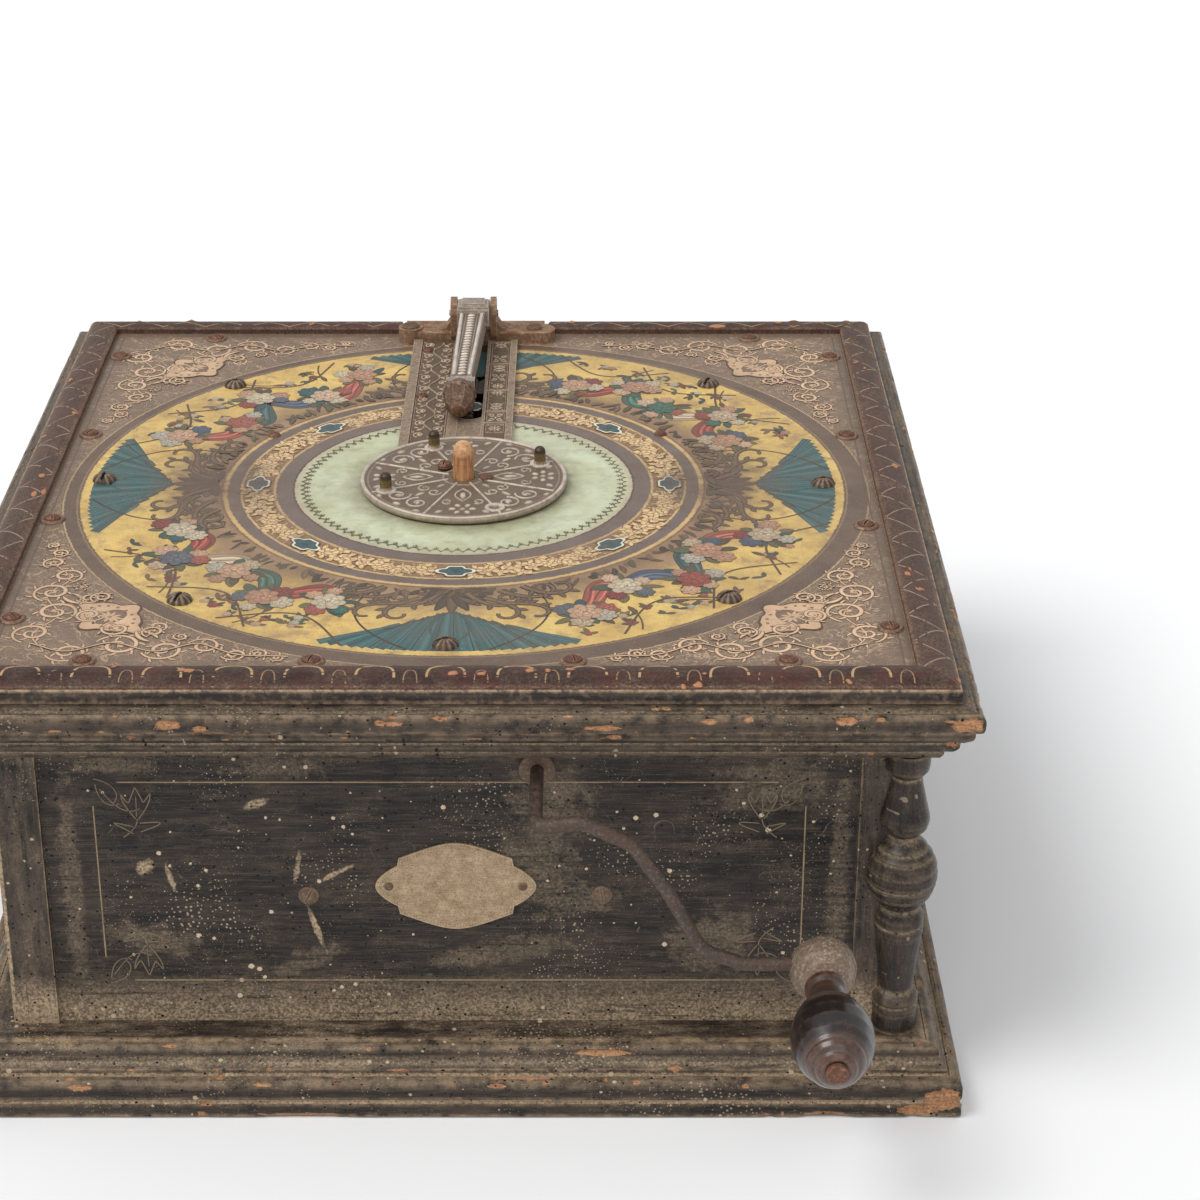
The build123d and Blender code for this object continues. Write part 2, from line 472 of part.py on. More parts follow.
ROD_R = 2.7
HX, HZ = SHAFT_X + HUB_DX, SHAFT_Z + HUB_DZ
with BuildPart() as crank_rod:
    with BuildLine() as rod_path:
        FilletPolyline((SHAFT_X, -158.0, SHAFT_Z), (SHAFT_X, CRANK_Y, SHAFT_Z), (SHAFT_X + 17, CRANK_Y, SHAFT_Z + 2.4),
                       (SHAFT_X + 36.5, CRANK_Y, SHAFT_Z - 7.5), (SHAFT_X + 50.5, CRANK_Y, SHAFT_Z - 29),
                       (SHAFT_X + 63.5, CRANK_Y, SHAFT_Z - 54.5), (SHAFT_X + 80.0, CRANK_Y, SHAFT_Z - 60.5),
                       (HX - 9.0, CRANK_Y, SHAFT_Z - 60.5), radius=(5.5, 10, 14, 30, 14, 12))
    with BuildSketch(Plane(origin=(SHAFT_X, -158.0, SHAFT_Z), x_dir=(1, 0, 0), z_dir=(0, -1, 0))):
        Circle(ROD_R)
    sweep(path=rod_path.line)
save(crank_rod, "crank_rod")

with BuildPart() as crank_boss:
    turned(Plane(origin=(HX, 0, HZ), x_dir=(1, 0, 0), z_dir=(0, 0, 1)),
           [(0, -218.6), (6.5, -218.6), (10.6, -220.6), (12.8, -224.6), (13.2, -228.6), (12.3, -233.4), (9.6, -237.6), (6.0, -239.6), (0, -239.6)])
    with BuildSketch(Plane(origin=(HX - 8.0, CRANK_Y, SHAFT_Z - 60.5), x_dir=(0, 1, 0), z_dir=(-1, 0, 0))):
        Circle(ROD_R + 0.04)
    extrude(amount=12, mode=Mode.SUBTRACT)
    rod_y(HX, HZ, 2.5, -242, -226, mode=Mode.SUBTRACT)
save(crank_boss, "crank_boss")

with BuildPart() as knob_pin:
    rod_y(HX, HZ, 2.5, -296.0, -226.0)
    rod_y(HX, HZ, 4.2, -298.0, -296.0)
    fillet(knob_pin.edges().group_by(Axis.Y)[0], 0.9)
save(knob_pin, "knob_pin")

with BuildPart() as crank_knob:
    turned(Plane(origin=(HX, 0, HZ), x_dir=(1, 0, 0), z_dir=(0, 0, 1)),
           [(2.56, -240.2), (7.4, -240.2), (8.2, -241.6), (8.0, -243.4), (6.9, -245.6), (6.6, -248.4), (7.4, -251.6),
            (9.6, -256.0), (12.4, -261.2), (14.6, -267.0), (15.7, -273.0), (15.5, -279.0), (14.1, -284.6), (12.0, -288.6),
            (11.2, -289.4), (11.0, -290.6), (9.6, -292.4), (7.8, -293.6), (7.5, -294.4), (5.6, -295.6), (2.56, -295.6)])
save(crank_knob, "crank_knob")

# crankshaft: two opposed throws work the feeders, the worm between them turns the spindle
TF, TB = -85.0, 85.0
with BuildPart() as crankshaft:
    rod_y(SHAFT_X, SHAFT_Z, 4.0, -157.9, TF - 5)
    rod_y(SHAFT_X, SHAFT_Z, 6.0, -168.0, -150.0)
    rod_y(SHAFT_X, SHAFT_Z, 4.0, TF + 5, TB - 5)
    rod_y(SHAFT_X, SHAFT_Z, 4.0, TB + 5, 132.0)
    for y, s in ((TF, 1), (TB, -1)):
        for e in (-1, 1):
            y0, y1 = sorted((y + e * 4.0, y + e * 8.0))
            z0, z1 = sorted((SHAFT_Z - s * 5.0, SHAFT_Z + s * (THROW + 4.5)))
            box_at(SHAFT_X - 5, SHAFT_X + 5, y0, y1, z0, z1)
        rod_y(SHAFT_X, SHAFT_Z + s * THROW, 3.0, y - 5, y + 5)
    rod_y(SHAFT_X, SHAFT_Z, 2.7, -170.0, -158.0, mode=Mode.SUBTRACT)
save(crankshaft, "crankshaft")

TURNS = 4
WL = TURNS * PITCH
with BuildPart() as worm_blank:
    with BuildLine() as thread_line:
        Helix(pitch=PITCH, height=WL, radius=6.9)
    with BuildSketch(Plane(origin=(6.9, 0, 0), x_dir=(1, 0, 0), z_dir=(0, 1, 0))):
        with BuildLine():
            Polyline((-0.6, -1.0), (0.2, -0.95), (3.0, -0.5), (3.0, 0.5), (0.2, 0.95), (-0.6, 1.0), close=True)
        make_face()
    sweep(path=thread_line.line, is_frenet=True)
    with BuildSketch(Plane.XY.offset(-3.0)):
        Circle(7.0)
    extrude(amount=WL + 6.0)
    with BuildSketch(Plane.XY.offset(-4.0)):
        Circle(4.0)
    extrude(amount=WL + 8.0, mode=Mode.SUBTRACT)
# stand the worm along the crankshaft, its thread meeting a gap of the wheel on the wheel's side
worm_place = Plane(origin=(SHAFT_X, CY - WL / 2, SHAFT_Z), x_dir=(-1, 0, 0), z_dir=(0, 1, 0))
placed_worm = worm_blank.part.moved(worm_place.location)
with BuildPart() as worm:
    add(placed_worm)
save(worm, "worm")

with BuildPart() as rear_bearing:
    box_at(SHAFT_X - 7.5, SHAFT_X + 7.5, 120.0, 129.0, SHAFT_Z - 8, BOARD_Z)
    box_at(SHAFT_X - 7.5, SHAFT_X + 7.5, 112.0, 137.0, 180.2, BOARD_Z)
    rod_y(SHAFT_X, SHAFT_Z, 4.06, 100, 140, mode=Mode.SUBTRACT)
save(rear_bearing, "rear_bearing")

# ------------------------------------------------------------------ feeder bellows, worked by the connecting rods
ROD_LEN = 62.0
for label, y, s in (("front_connecting_rod", TF, 1), ("rear_connecting_rod", TB, -1)):
    zt = SHAFT_Z + s * THROW
    with BuildPart() as con_rod:
        rod_y(SHAFT_X, zt, 6.2, y - 3.6, y + 3.6)
        box_at(SHAFT_X - 3.2, SHAFT_X + 3.2, y - 2.6, y + 2.6, zt - ROD_LEN, zt)
        rod_y(SHAFT_X, zt - ROD_LEN, 5.0, y - 2.6, y + 2.6)
        rod_y(SHAFT_X, zt, 3.06, y - 6, y + 6, mode=Mode.SUBTRACT)
        rod_y(SHAFT_X, zt - ROD_LEN, 2.2, y - 6, y + 6, mode=Mode.SUBTRACT)
    save(con_rod, label)

WB_Z0, WB_Z1 = 80.0, 88.0
with BuildPart() as wind_board:
    box_at(-(CASE_A - PANEL_IN - PANEL_T - 0.1), 16.0, -(CB - PANEL_IN - PANEL_T - 0.1), CB - PANEL_IN - PANEL_T - 0.1, WB_Z0, WB_Z1)
    box_at(-180.0, -(PX - 0.2), PY - 0.2, 190.0, WB_Z0 - 1, WB_Z1 + 1, mode=Mode.SUBTRACT)
    box_at(-180.0, -(PX - 0.2), -190.0, -(PY - 0.2), WB_Z0 - 1, WB_Z1 + 1, mode=Mode.SUBTRACT)
    box_at(-60.0, 0.0, 80.0, 160.0, WB_Z0 - 1, WB_Z1 + 1, mode=Mode.SUBTRACT)
    for y0 in (-120.0, -60.0, 30.0):
        box_at(-110.0, -80.0, y0, y0 + 24, WB_Z0 - 1, WB_Z1 + 1, mode=Mode.SUBTRACT)
save(wind_board, "wind_board")

HINGE_X, HINGE_Z = -150.0, 52.0
FEED = 2.79           # feeder swing each way, degrees
for label, y0, y1, s, yc in (("front_feeder_board", -160.0, -6.0, 1, TF), ("rear_feeder_board", 6.0, 160.0, -1, TB)):
    a = radians(FEED * s)
    tilt = Plane(origin=(HINGE_X, 0, HINGE_Z), x_dir=(cos(a), 0, sin(a)), z_dir=(-sin(a), 0, cos(a)))
    with BuildPart() as feeder:
        with BuildSketch(tilt.offset(-4)):
            with Locations((100.0, (y0 + y1) / 2)):
                Rectangle(200.0, y1 - y0)
        extrude(amount=8)
        # rounded hinge edge
        rod_y(HINGE_X, HINGE_Z, 4.0, y0, y1)
        # open bracket that the rod works in
        with BuildSketch(tilt.offset(3.9)):
            with Locations((184.6, yc - 8.0), (184.6, yc + 8.0)):
                Rectangle(26.0, 3.0)
        extrude(amount=20)
        with BuildSketch(tilt.offset(-4)):
            with Locations((78.0, (y0 + y1) / 2)):
                RectangleRounded(40.0, 70.0, 4.0)
        extrude(amount=8, mode=Mode.SUBTRACT)
    save(feeder, label)

for label, y0, y1, s in (("front_feeder_cloth", -158.0, -8.0, 1), ("rear_feeder_cloth", 8.0, 158.0, -1)):
    a = radians(FEED * s)
    zr = lambda x: HINGE_Z + 4.3 / cos(a) + (x - HINGE_X) * tan(a)
    with BuildPart() as cloth:
        with BuildSketch(Plane(origin=(0, y0, 0), x_dir=(1, 0, 0), z_dir=(0, -1, 0))):
            with BuildLine():
                Polyline((-146.0, zr(-146.0)), (12.0, zr(12.0)), (12.0, WB_Z0 - 0.05), (-146.0, WB_Z0 - 0.05), close=True)
            make_face()
        extrude(amount=-(y1 - y0))
        box_at(-143.5, 9.5, y0 + 2.5, y1 - 2.5, 20, 90, mode=Mode.SUBTRACT)
    save(cloth, label)

with BuildPart() as reservoir_board:
    box_at(-150.0, 14.0, -160.0, 50.0, 98.0, 105.0)
    # rounded hinge edge
    rod_y(-150.0, 101.5, 3.5, -160.0, 50.0)
save(reservoir_board, "reservoir_board")

with BuildPart() as reservoir_cloth:
    box_at(-148.0, 12.0, -158.0, 48.0, WB_Z1 + 0.05, 97.7)
    box_at(-145.5, 9.5, -155.5, 45.5, WB_Z1, 98, mode=Mode.SUBTRACT)
save(reservoir_cloth, "reservoir_cloth")

with BuildPart() as reservoir_springs:
    for y in (-130.0, 20.0):
        rod_z(-10.0, y, 6.0, WB_Z1 + 0.05, 97.7)
        rod_z(-10.0, y, 4.6, WB_Z1, 98, mode=Mode.SUBTRACT)
save(reservoir_springs, "reservoir_springs")

# ------------------------------------------------------------------ reeds and key levers
KY0 = 118.5 - KEY_P * (N_KEYS - 1) / 2
KEYS = [KY0 + KEY_P * i for i in range(N_KEYS)]
PAN_T = 165.5
with BuildPart() as wind_trunk:
    box_at(-68.0, 10.0, 64.5, 170.3, WB_Z1 + 0.05, 139.9)
    box_at(-64.5, 6.0, 68.2, 168.3, WB_Z1 - 1, 141, mode=Mode.SUBTRACT)
save(wind_trunk, "wind_trunk")

with BuildPart() as reed_pan:
    box_at(-82.0, 10.0, 64.5, 170.3, 140.0, PAN_T)
    for y in KEYS:
        box_at(-50.0, -38.0, y - 1.3, y + 1.3, 139, PAN_T + 1, mode=Mode.SUBTRACT)
save(reed_pan, "reed_pan")

with BuildPart() as reeds:
    for y in KEYS:
        box_at(-62.0, -30.0, y - 1.8, y + 1.8, 138.2, 139.9)
        box_at(-52.0, -36.0, y - 1.0, y + 1.0, 137, 141, mode=Mode.SUBTRACT)
        box_at(-53.0, -37.0, y - 0.8, y + 0.8, 138.6, 139.2)
save(reeds, "reeds")

LEV_X, LEV_Z = -75.0, 172.6
with BuildPart() as key_levers:
    for y in KEYS:
        with BuildSketch(Plane(origin=(0, y - 1.1, 0), x_dir=(1, 0, 0), z_dir=(0, -1, 0))):
            with BuildLine():
                Polyline((-78.5, 170.6), (1.1, 170.6), (1.1, 191.2), (0.3, 192.3), (-1.4, 192.3), (-2.4, 190.8), (-2.4, 174.6), (-78.5, 174.6), close=True)
            make_face()
        extrude(amount=-2.2)
    rod_y(LEV_X, LEV_Z, 1.31, 60, 180, mode=Mode.SUBTRACT)
save(key_levers, "key_levers")

with BuildPart() as pallets:
    for y in KEYS:
        box_at(-52.0, -36.0, y - 1.9, y + 1.9, 167.2, 170.58)
save(pallets, "pallets")

with BuildPart() as lever_axle:
    rod_y(LEV_X, LEV_Z, 1.25, 66.5, 170.0)
    box_at(LEV_X - 3, LEV_X + 3, 66.0, 69.2, PAN_T, LEV_Z + 2.5)
    box_at(LEV_X - 3, LEV_X + 3, 167.8, 170.2, PAN_T, LEV_Z + 2.5)
save(lever_axle, "lever_axle")

with BuildPart() as lever_springs:
    for y in KEYS:
        rod_z(-64.0, y, 1.5, PAN_T + 0.02, 170.5)
        rod_z(-64.0, y, 1.0, PAN_T, 171, mode=Mode.SUBTRACT)
save(lever_springs, "lever_springs")

# ------------------------------------------------------------------ plate and screws on the front panel
FACE = -(CB - PANEL_IN)
with BuildPart() as nameplate:
    with BuildSketch(Plane(origin=(PLATE_X, FACE, PLATE_Z), x_dir=(1, 0, 0), z_dir=(0, -1, 0))):
        with BuildLine():
            Spline((-21.5, 13.2), (-12.0, 17.0), (0, 19.8), (12.0, 17.0), (21.5, 13.2))
            Polyline((21.5, 13.2), (22.5, 12.8), (23.2, 9.2))
            Spline((23.2, 9.2), (28.0, 6.0), (32.0, 0), (28.0, -6.0), (23.2, -9.2))
            Polyline((23.2, -9.2), (22.5, -12.8), (21.5, -13.2))
            Spline((21.5, -13.2), (12.0, -17.0), (0, -19.8), (-12.0, -17.0), (-21.5, -13.2))
            Polyline((-21.5, -13.2), (-22.5, -12.8), (-23.2, -9.2))
            Spline((-23.2, -9.2), (-28.0, -6.0), (-32.0, 0), (-28.0, 6.0), (-23.2, 9.2))
            Polyline((-23.2, 9.2), (-22.5, 12.8), (-21.5, 13.2))
        make_face()
        with Locations((-26.7, 0), (26.7, 0)):
            Circle(0.95, mode=Mode.SUBTRACT)
    extrude(amount=0.9)
save(nameplate, "nameplate")

with BuildPart() as nameplate_nails:
    for x in NAILS:
        turned(Plane(origin=(x, FACE, PLATE_Z), x_dir=(1, 0, 0), z_dir=(0, 0, 1)),
               [(0, 6.0), (0.4, 5.0), (0.9, -0.95), (1.9, -0.95), (1.6, -1.5), (0.8, -1.9), (0, -2.0)])
save(nameplate_nails, "nameplate_nails")

with BuildPart() as panel_screws:
    for i, (x, z) in enumerate(PANEL_SCREWS):
        turned(Plane(origin=(x, FACE, z), x_dir=(1, 0, 0), z_dir=(0, 0, 1)),
               [(0, 9.0), (1.0, 8.5), (1.8, -0.02), (4.1, -0.02), (3.9, -0.5), (2.6, -0.9), (0, -1.05)])
        with BuildSketch(Plane(origin=(x, FACE - 0.4, z), x_dir=(1, 0, 0), z_dir=(0, -1, 0))):
            Rectangle(0.8, 10, rotation=(8, -28)[i])
        extrude(amount=2, mode=Mode.SUBTRACT)
save(panel_screws, "panel_screws")

print(len(made), "nodes")
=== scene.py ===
import bpy
import math
import random
import numpy as np
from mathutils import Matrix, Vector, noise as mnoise


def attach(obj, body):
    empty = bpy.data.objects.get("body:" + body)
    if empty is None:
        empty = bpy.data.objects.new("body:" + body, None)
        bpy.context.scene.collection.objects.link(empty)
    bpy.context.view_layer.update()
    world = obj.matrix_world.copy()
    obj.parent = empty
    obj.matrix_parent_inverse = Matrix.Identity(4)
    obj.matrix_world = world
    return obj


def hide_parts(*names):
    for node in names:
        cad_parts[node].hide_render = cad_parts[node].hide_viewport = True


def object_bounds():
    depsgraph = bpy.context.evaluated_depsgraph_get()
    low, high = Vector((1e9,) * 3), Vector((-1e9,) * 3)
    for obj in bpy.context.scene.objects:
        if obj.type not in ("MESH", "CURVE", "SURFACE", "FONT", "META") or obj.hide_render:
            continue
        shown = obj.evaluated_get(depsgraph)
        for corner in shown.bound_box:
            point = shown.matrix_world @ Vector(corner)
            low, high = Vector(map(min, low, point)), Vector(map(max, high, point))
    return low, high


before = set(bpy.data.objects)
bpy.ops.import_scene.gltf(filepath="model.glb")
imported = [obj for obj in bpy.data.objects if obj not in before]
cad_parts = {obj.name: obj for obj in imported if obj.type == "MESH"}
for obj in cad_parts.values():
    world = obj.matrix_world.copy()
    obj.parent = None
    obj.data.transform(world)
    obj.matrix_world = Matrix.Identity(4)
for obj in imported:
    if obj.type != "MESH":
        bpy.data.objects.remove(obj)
cad_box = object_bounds()
cad_box = [list(cad_box[0]), list(cad_box[1])]

MM = 0.001
CY = -3.9            # disc centre, mm
DEEP = 3.5           # extra half depth of the case
TOP = 190.0
CASE_A = 179.2
CB = CASE_A + DEEP
PI = math.pi


def lin(r, g, b):
    out = []
    for v in (r, g, b):
        v = v / 255.0
        out.append(v / 12.92 if v <= 0.04045 else ((v + 0.055) / 1.055) ** 2.4)
    return tuple(out)


# ------------------------------------------------------------------ node helpers
class S:
    """A socket with arithmetic."""
    def __init__(self, t, s):
        self.t, self.s = t, s

    def __add__(self, o): return self.t.m('ADD', self, o)
    def __radd__(self, o): return self.t.m('ADD', o, self)
    def __sub__(self, o): return self.t.m('SUBTRACT', self, o)
    def __rsub__(self, o): return self.t.m('SUBTRACT', o, self)
    def __mul__(self, o): return self.t.m('MULTIPLY', self, o)
    def __rmul__(self, o): return self.t.m('MULTIPLY', o, self)
    def __truediv__(self, o): return self.t.m('DIVIDE', self, o)
    def __neg__(self): return self.t.m('MULTIPLY', self, -1.0)


class Tree:
    def __init__(self, name):
        self.mat = bpy.data.materials.new(name)
        self.mat.use_nodes = True
        self.nt = self.mat.node_tree
        self.nt.nodes.clear()
        self.out = self.nt.nodes.new('ShaderNodeOutputMaterial')
        self.bsdf = self.nt.nodes.new('ShaderNodeBsdfPrincipled')
        self.nt.links.new(self.bsdf.outputs[0], self.out.inputs['Surface'])
        self._p = None

    def link(self, v, inp):
        if isinstance(v, S):
            self.nt.links.new(v.s, inp)
        elif v is not None:
            if hasattr(inp, 'default_value'):
                if isinstance(v, (tuple, list)) and len(v) == 3 and inp.type == 'RGBA':
                    v = (*v, 1.0)
                inp.default_value = v

    def node(self, kind, **kw):
        n = self.nt.nodes.new(kind)
        for k, v in kw.items():
            setattr(n, k, v)
        return n

    def m(self, op, a, b=None, c=None, clamp=False):
        n = self.node('ShaderNodeMath', operation=op, use_clamp=clamp)
        self.link(a, n.inputs[0])
        if b is not None:
            self.link(b, n.inputs[1])
        if c is not None:
            self.link(c, n.inputs[2])
        return S(self, n.outputs[0])

    def vm(self, op, a, b=None, scale=None):
        n = self.node('ShaderNodeVectorMath', operation=op)
        self.link(a, n.inputs[0])
        if b is not None:
            self.link(b, n.inputs[1])
        if scale is not None:
            self.link(scale, n.inputs['Scale'])
        return S(self, n.outputs['Value'] if op in ('LENGTH', 'DISTANCE', 'DOT_PRODUCT') else n.outputs[0])

    def pos(self):
        """Position in millimetres, in the object's own frame."""
        if self._p is None:
            tc = self.node('ShaderNodeTexCoord')
            self._p = self.vm('SCALE', S(self, tc.outputs['Object']), scale=1000.0)
        return self._p

    def sep(self, v):
        n = self.node('ShaderNodeSeparateXYZ')
        self.link(v, n.inputs[0])
        return tuple(S(self, o) for o in n.outputs)

    def comb(self, x, y, z):
        n = self.node('ShaderNodeCombineXYZ')
        for v, i in zip((x, y, z), n.inputs):
            self.link(v, i)
        return S(self, n.outputs[0])

    def stretch(self, sx, sy, sz, off=(0, 0, 0)):
        n = self.node('ShaderNodeMapping')
        self.link(self.pos(), n.inputs['Vector'])
        n.inputs['Scale'].default_value = (sx, sy, sz)
        n.inputs['Location'].default_value = off
        return S(self, n.outputs[0])

    def noise(self, scale, detail=4.0, rough=0.55, vec=None, dist=0.0, color=False):
        n = self.node('ShaderNodeTexNoise')
        self.link(vec if vec is not None else self.pos(), n.inputs['Vector'])
        n.inputs['Scale'].default_value = scale
        n.inputs['Detail'].default_value = detail
        n.inputs['Roughness'].default_value = rough
        n.inputs['Distortion'].default_value = dist
        return S(self, n.outputs['Color' if color else 'Fac'])

    def voro(self, scale, feature='F1', vec=None, rand=1.0, out='Distance', dims='3D'):
        n = self.node('ShaderNodeTexVoronoi', feature=feature)
        n.voronoi_dimensions = dims
        self.link(vec if vec is not None else self.pos(), n.inputs['Vector'])
        n.inputs['Scale'].default_value = scale
        n.inputs['Randomness'].default_value = rand
        return S(self, n.outputs[out])

    def wave(self, scale, dist=0.0, vec=None, direction='X', detail=2.0):
        n = self.node('ShaderNodeTexWave', bands_direction=direction)
        self.link(vec if vec is not None else self.pos(), n.inputs['Vector'])
        n.inputs['Scale'].default_value = scale
        n.inputs['Distortion'].default_value = dist
        n.inputs['Detail'].default_value = detail
        return S(self, n.outputs['Fac'])

    def rng(self, v, a, b, c=0.0, d=1.0, smooth=False):
        n = self.node('ShaderNodeMapRange', interpolation_type='SMOOTHSTEP' if smooth else 'LINEAR')
        n.clamp = True
        self.link(v, n.inputs['Value'])
        for k, x in zip(('From Min', 'From Max', 'To Min', 'To Max'), (a, b, c, d)):
            self.link(x, n.inputs[k])
        return S(self, n.outputs['Result'])

    def ramp(self, v, stops, interp='LINEAR'):
        n = self.node('ShaderNodeValToRGB')
        n.color_ramp.interpolation = interp
        e = n.color_ramp.elements
        while len(e) < len(stops):
            e.new(0.5)
        for el, (p, c) in zip(e, stops):
            el.position = p
            el.color = (*c, 1.0) if isinstance(c, (tuple, list)) else (c, c, c, 1.0)
        self.link(v, n.inputs[0])
        return S(self, n.outputs[0])

    def mix(self, f, a, b, blend='MIX'):
        n = self.node('ShaderNodeMix', data_type='RGBA', blend_type=blend)
        n.clamp_factor = True
        self.link(f, n.inputs[0])
        self.link(a, n.inputs[6])
        self.link(b, n.inputs[7])
        return S(self, n.outputs[2])

    def mixf(self, f, a, b):
        n = self.node('ShaderNodeMix', data_type='FLOAT')
        n.clamp_factor = True
        self.link(f, n.inputs[0])
        self.link(a, n.inputs[2])
        self.link(b, n.inputs[3])
        return S(self, n.outputs[0])

    def attr(self, name, color=False):
        n = self.node('ShaderNodeAttribute', attribute_name=name)
        n.attribute_type = 'GEOMETRY'
        return S(self, n.outputs['Color' if color else 'Fac'])

    def normal(self):
        n = self.node('ShaderNodeTexCoord')
        return S(self, n.outputs['Normal'])

    def bevel(self, r):
        """0 on flats, towards 1 on edges, by a rounded normal."""
        n = self.node('ShaderNodeBevel', samples=4)
        n.inputs['Radius'].default_value = r * MM
        g = self.node('ShaderNodeNewGeometry')
        d = self.vm('DOT_PRODUCT', S(self, n.outputs[0]), S(self, g.outputs['Normal']))
        return self.rng(d, 0.998, 0.86)

    def ao(self, dist, inside=False, samples=6):
        n = self.node('ShaderNodeAmbientOcclusion', samples=samples, inside=inside)
        n.inputs['Distance'].default_value = dist * MM
        return S(self, n.outputs['AO'])

    def bump(self, h, strength=0.3, dist=0.3, normal=None):
        n = self.node('ShaderNodeBump')
        n.inputs['Strength'].default_value = strength
        n.inputs['Distance'].default_value = dist * MM
        self.link(h, n.inputs['Height'])
        if normal is not None:
            self.link(normal, n.inputs['Normal'])
        return S(self, n.outputs[0])

    def done(self, color, rough, metal=0.0, normal=None, spec=0.4, coat=0.0, coat_rough=0.2, sheen=0.0):
        b = self.bsdf
        self.link(color, b.inputs['Base Color'])
        self.link(rough, b.inputs['Roughness'])
        self.link(metal, b.inputs['Metallic'])
        if normal is not None:
            self.link(normal, b.inputs['Normal'])
        b.inputs['Specular IOR Level'].default_value = spec
        b.inputs['Coat Weight'].default_value = coat
        b.inputs['Coat Roughness'].default_value = coat_rough
        b.inputs['Sheen Weight'].default_value = sheen
        return self.mat


# ------------------------------------------------------------------ worn black wood
def ebony(name, grain='X', attrs=False, dust=0.5, wear=0.5, holes=0.5, black=0.5, specks=0.4, zwear=None, zdust=None, smear=0.0, gloss=0.42):
    t = Tree(name)
    x, y, z = t.sep(t.pos())
    if grain == 'X':
        g = t.stretch(0.05, 1.0, 1.0)
        gl = t.stretch(0.25, 1.0, 1.0, (5, 2, 9))
    elif grain == 'Y':
        g = t.stretch(1.0, 0.05, 1.0)
        gl = t.stretch(1.0, 0.25, 1.0, (5, 2, 9))
    elif grain == 'Z':
        g = t.stretch(1.0, 1.0, 0.05)
        gl = t.stretch(1.0, 1.0, 0.25, (5, 2, 9))
    else:                               # mitred lengths: along X at the front and back, along Y at the sides
        ax = t.m('ABSOLUTE', x)
        ay = t.m('ABSOLUTE', y) - DEEP
        front = t.m('GREATER_THAN', ay, ax)
        gs = []
        for q, o in ((0.05, (7, 3, 1)), (0.25, (5, 2, 9))):
            n = t.node('ShaderNodeMix', data_type='VECTOR')
            t.link(front, n.inputs[0]); t.link(t.stretch(1.0, q, 1.0, o), n.inputs[4]); t.link(t.stretch(q, 1.0, 1.0, o), n.inputs[5])
            gs.append(S(t, n.outputs[1]))
        g, gl = gs
    if grain == 'X':
        u_, v_ = x, z
    elif grain == 'Y':
        u_, v_ = y, z
    elif grain == 'Z':
        u_, v_ = x + y, z
    else:
        u_ = t.mixf(front, y, x)
        v_ = z - t.m('MAXIMUM', ax, ay)

    def flat(du, dv):
        return t.comb(u_ + du, v_ + dv, 0.0)
    streak = t.noise(0.45, 5, 0.6, g)
    fine = t.noise(2.0, 3, 0.6, g)
    big = t.noise(0.016, 4, 0.6)
    mid = t.noise(0.06, 6, 0.66)
    small = t.noise(0.9, 4, 0.65)
    run = t.noise(0.10, 6, 0.68, gl)
    # near black stain, brown showing through along the grain
    col = t.mix(t.rng(streak, 0.42, 0.72) * 0.65, lin(27, 25, 25), lin(76, 63, 55))
    col = t.mix(t.rng(mid, 0.44, 0.64) * 0.5, col, lin(20, 19, 20))
    col = t.mix(t.rng(fine, 0.52, 0.72) * 0.4, col, lin(104, 88, 74))
    col = t.mix(t.rng(run, 0.48, 0.70) * (0.62 * (1.15 - black)), col, lin(92, 78, 66))
    col = t.mix(t.rng(big, 0.46, 0.66) * (0.5 * (1.1 - black)), col, lin(86, 74, 64))
    # dust film, thick on what faces up, thin and blotchy elsewhere
    nrm = t.normal()
    nx, ny, nz = t.sep(nrm)
    up = t.rng(nz, 0.15, 0.95)
    dmask = t.rng(t.noise(0.045, 6, 0.7, t.stretch(1, 1, 1, (21, 5, 8))), 0.40, 0.64)
    grit = t.rng(t.noise(1.3, 5, 0.78), 0.40, 0.62)
    patch = t.rng(t.noise(0.22, 6, 0.75, gl), 0.40, 0.60)
    film = (up * 0.62 + 0.20) * (dmask * 0.75 + 0.25) * (grit * 0.7 + 0.3) * (patch * 0.8 + 0.2) * dust
    if attrs:
        film = film + t.attr('ccv') * (0.95 * dust) * (t.rng(small, 0.25, 0.6) * 0.6 + 0.4)
    if zdust is not None:
        film = film + zdust(t, x, y, z) * (t.rng(small, 0.3, 0.65) * 0.6 + 0.4) * dust
    film = t.rng(film, 0.03, 0.56)
    col = t.mix(film, col, t.mix(t.rng(small, 0.4, 0.62), lin(132, 114, 92), lin(182, 160, 132)))
    pits = t.rng(t.noise(0.55, 6, 0.75, g), 0.47, 0.34)
    col = t.mix(pits * 0.7, col, lin(16, 15, 15))
    if smear > 0:
        # pale scraped runs and handling marks
        sm = t.rng(t.noise(0.05, 6, 0.72, t.stretch(0.55, 0.55, 1.25, (2, 40, 13))), 0.60, 0.70)
        sm = sm * t.rng(t.noise(0.5, 5, 0.75, gl), 0.42, 0.62) * smear
        low = t.rng(z, 78, 40, 0.25, 1.0)
        col = t.mix(sm * low, col, lin(142, 130, 114))
        film = film + sm * 0.5
        sc = t.noise(0.02, 2, 0.5, t.stretch(1, 1, 1, (8, 8, 8)), dist=3.0)
        line = t.rng(t.m('ABSOLUTE', sc - 0.5), 0.0035, 0.0015) * t.rng(t.noise(0.05, 3, 0.6, t.stretch(1, 1, 1, (70, 8, 8))), 0.52, 0.6)
        col = t.mix(line * 0.55 * smear, col, lin(120, 108, 94))
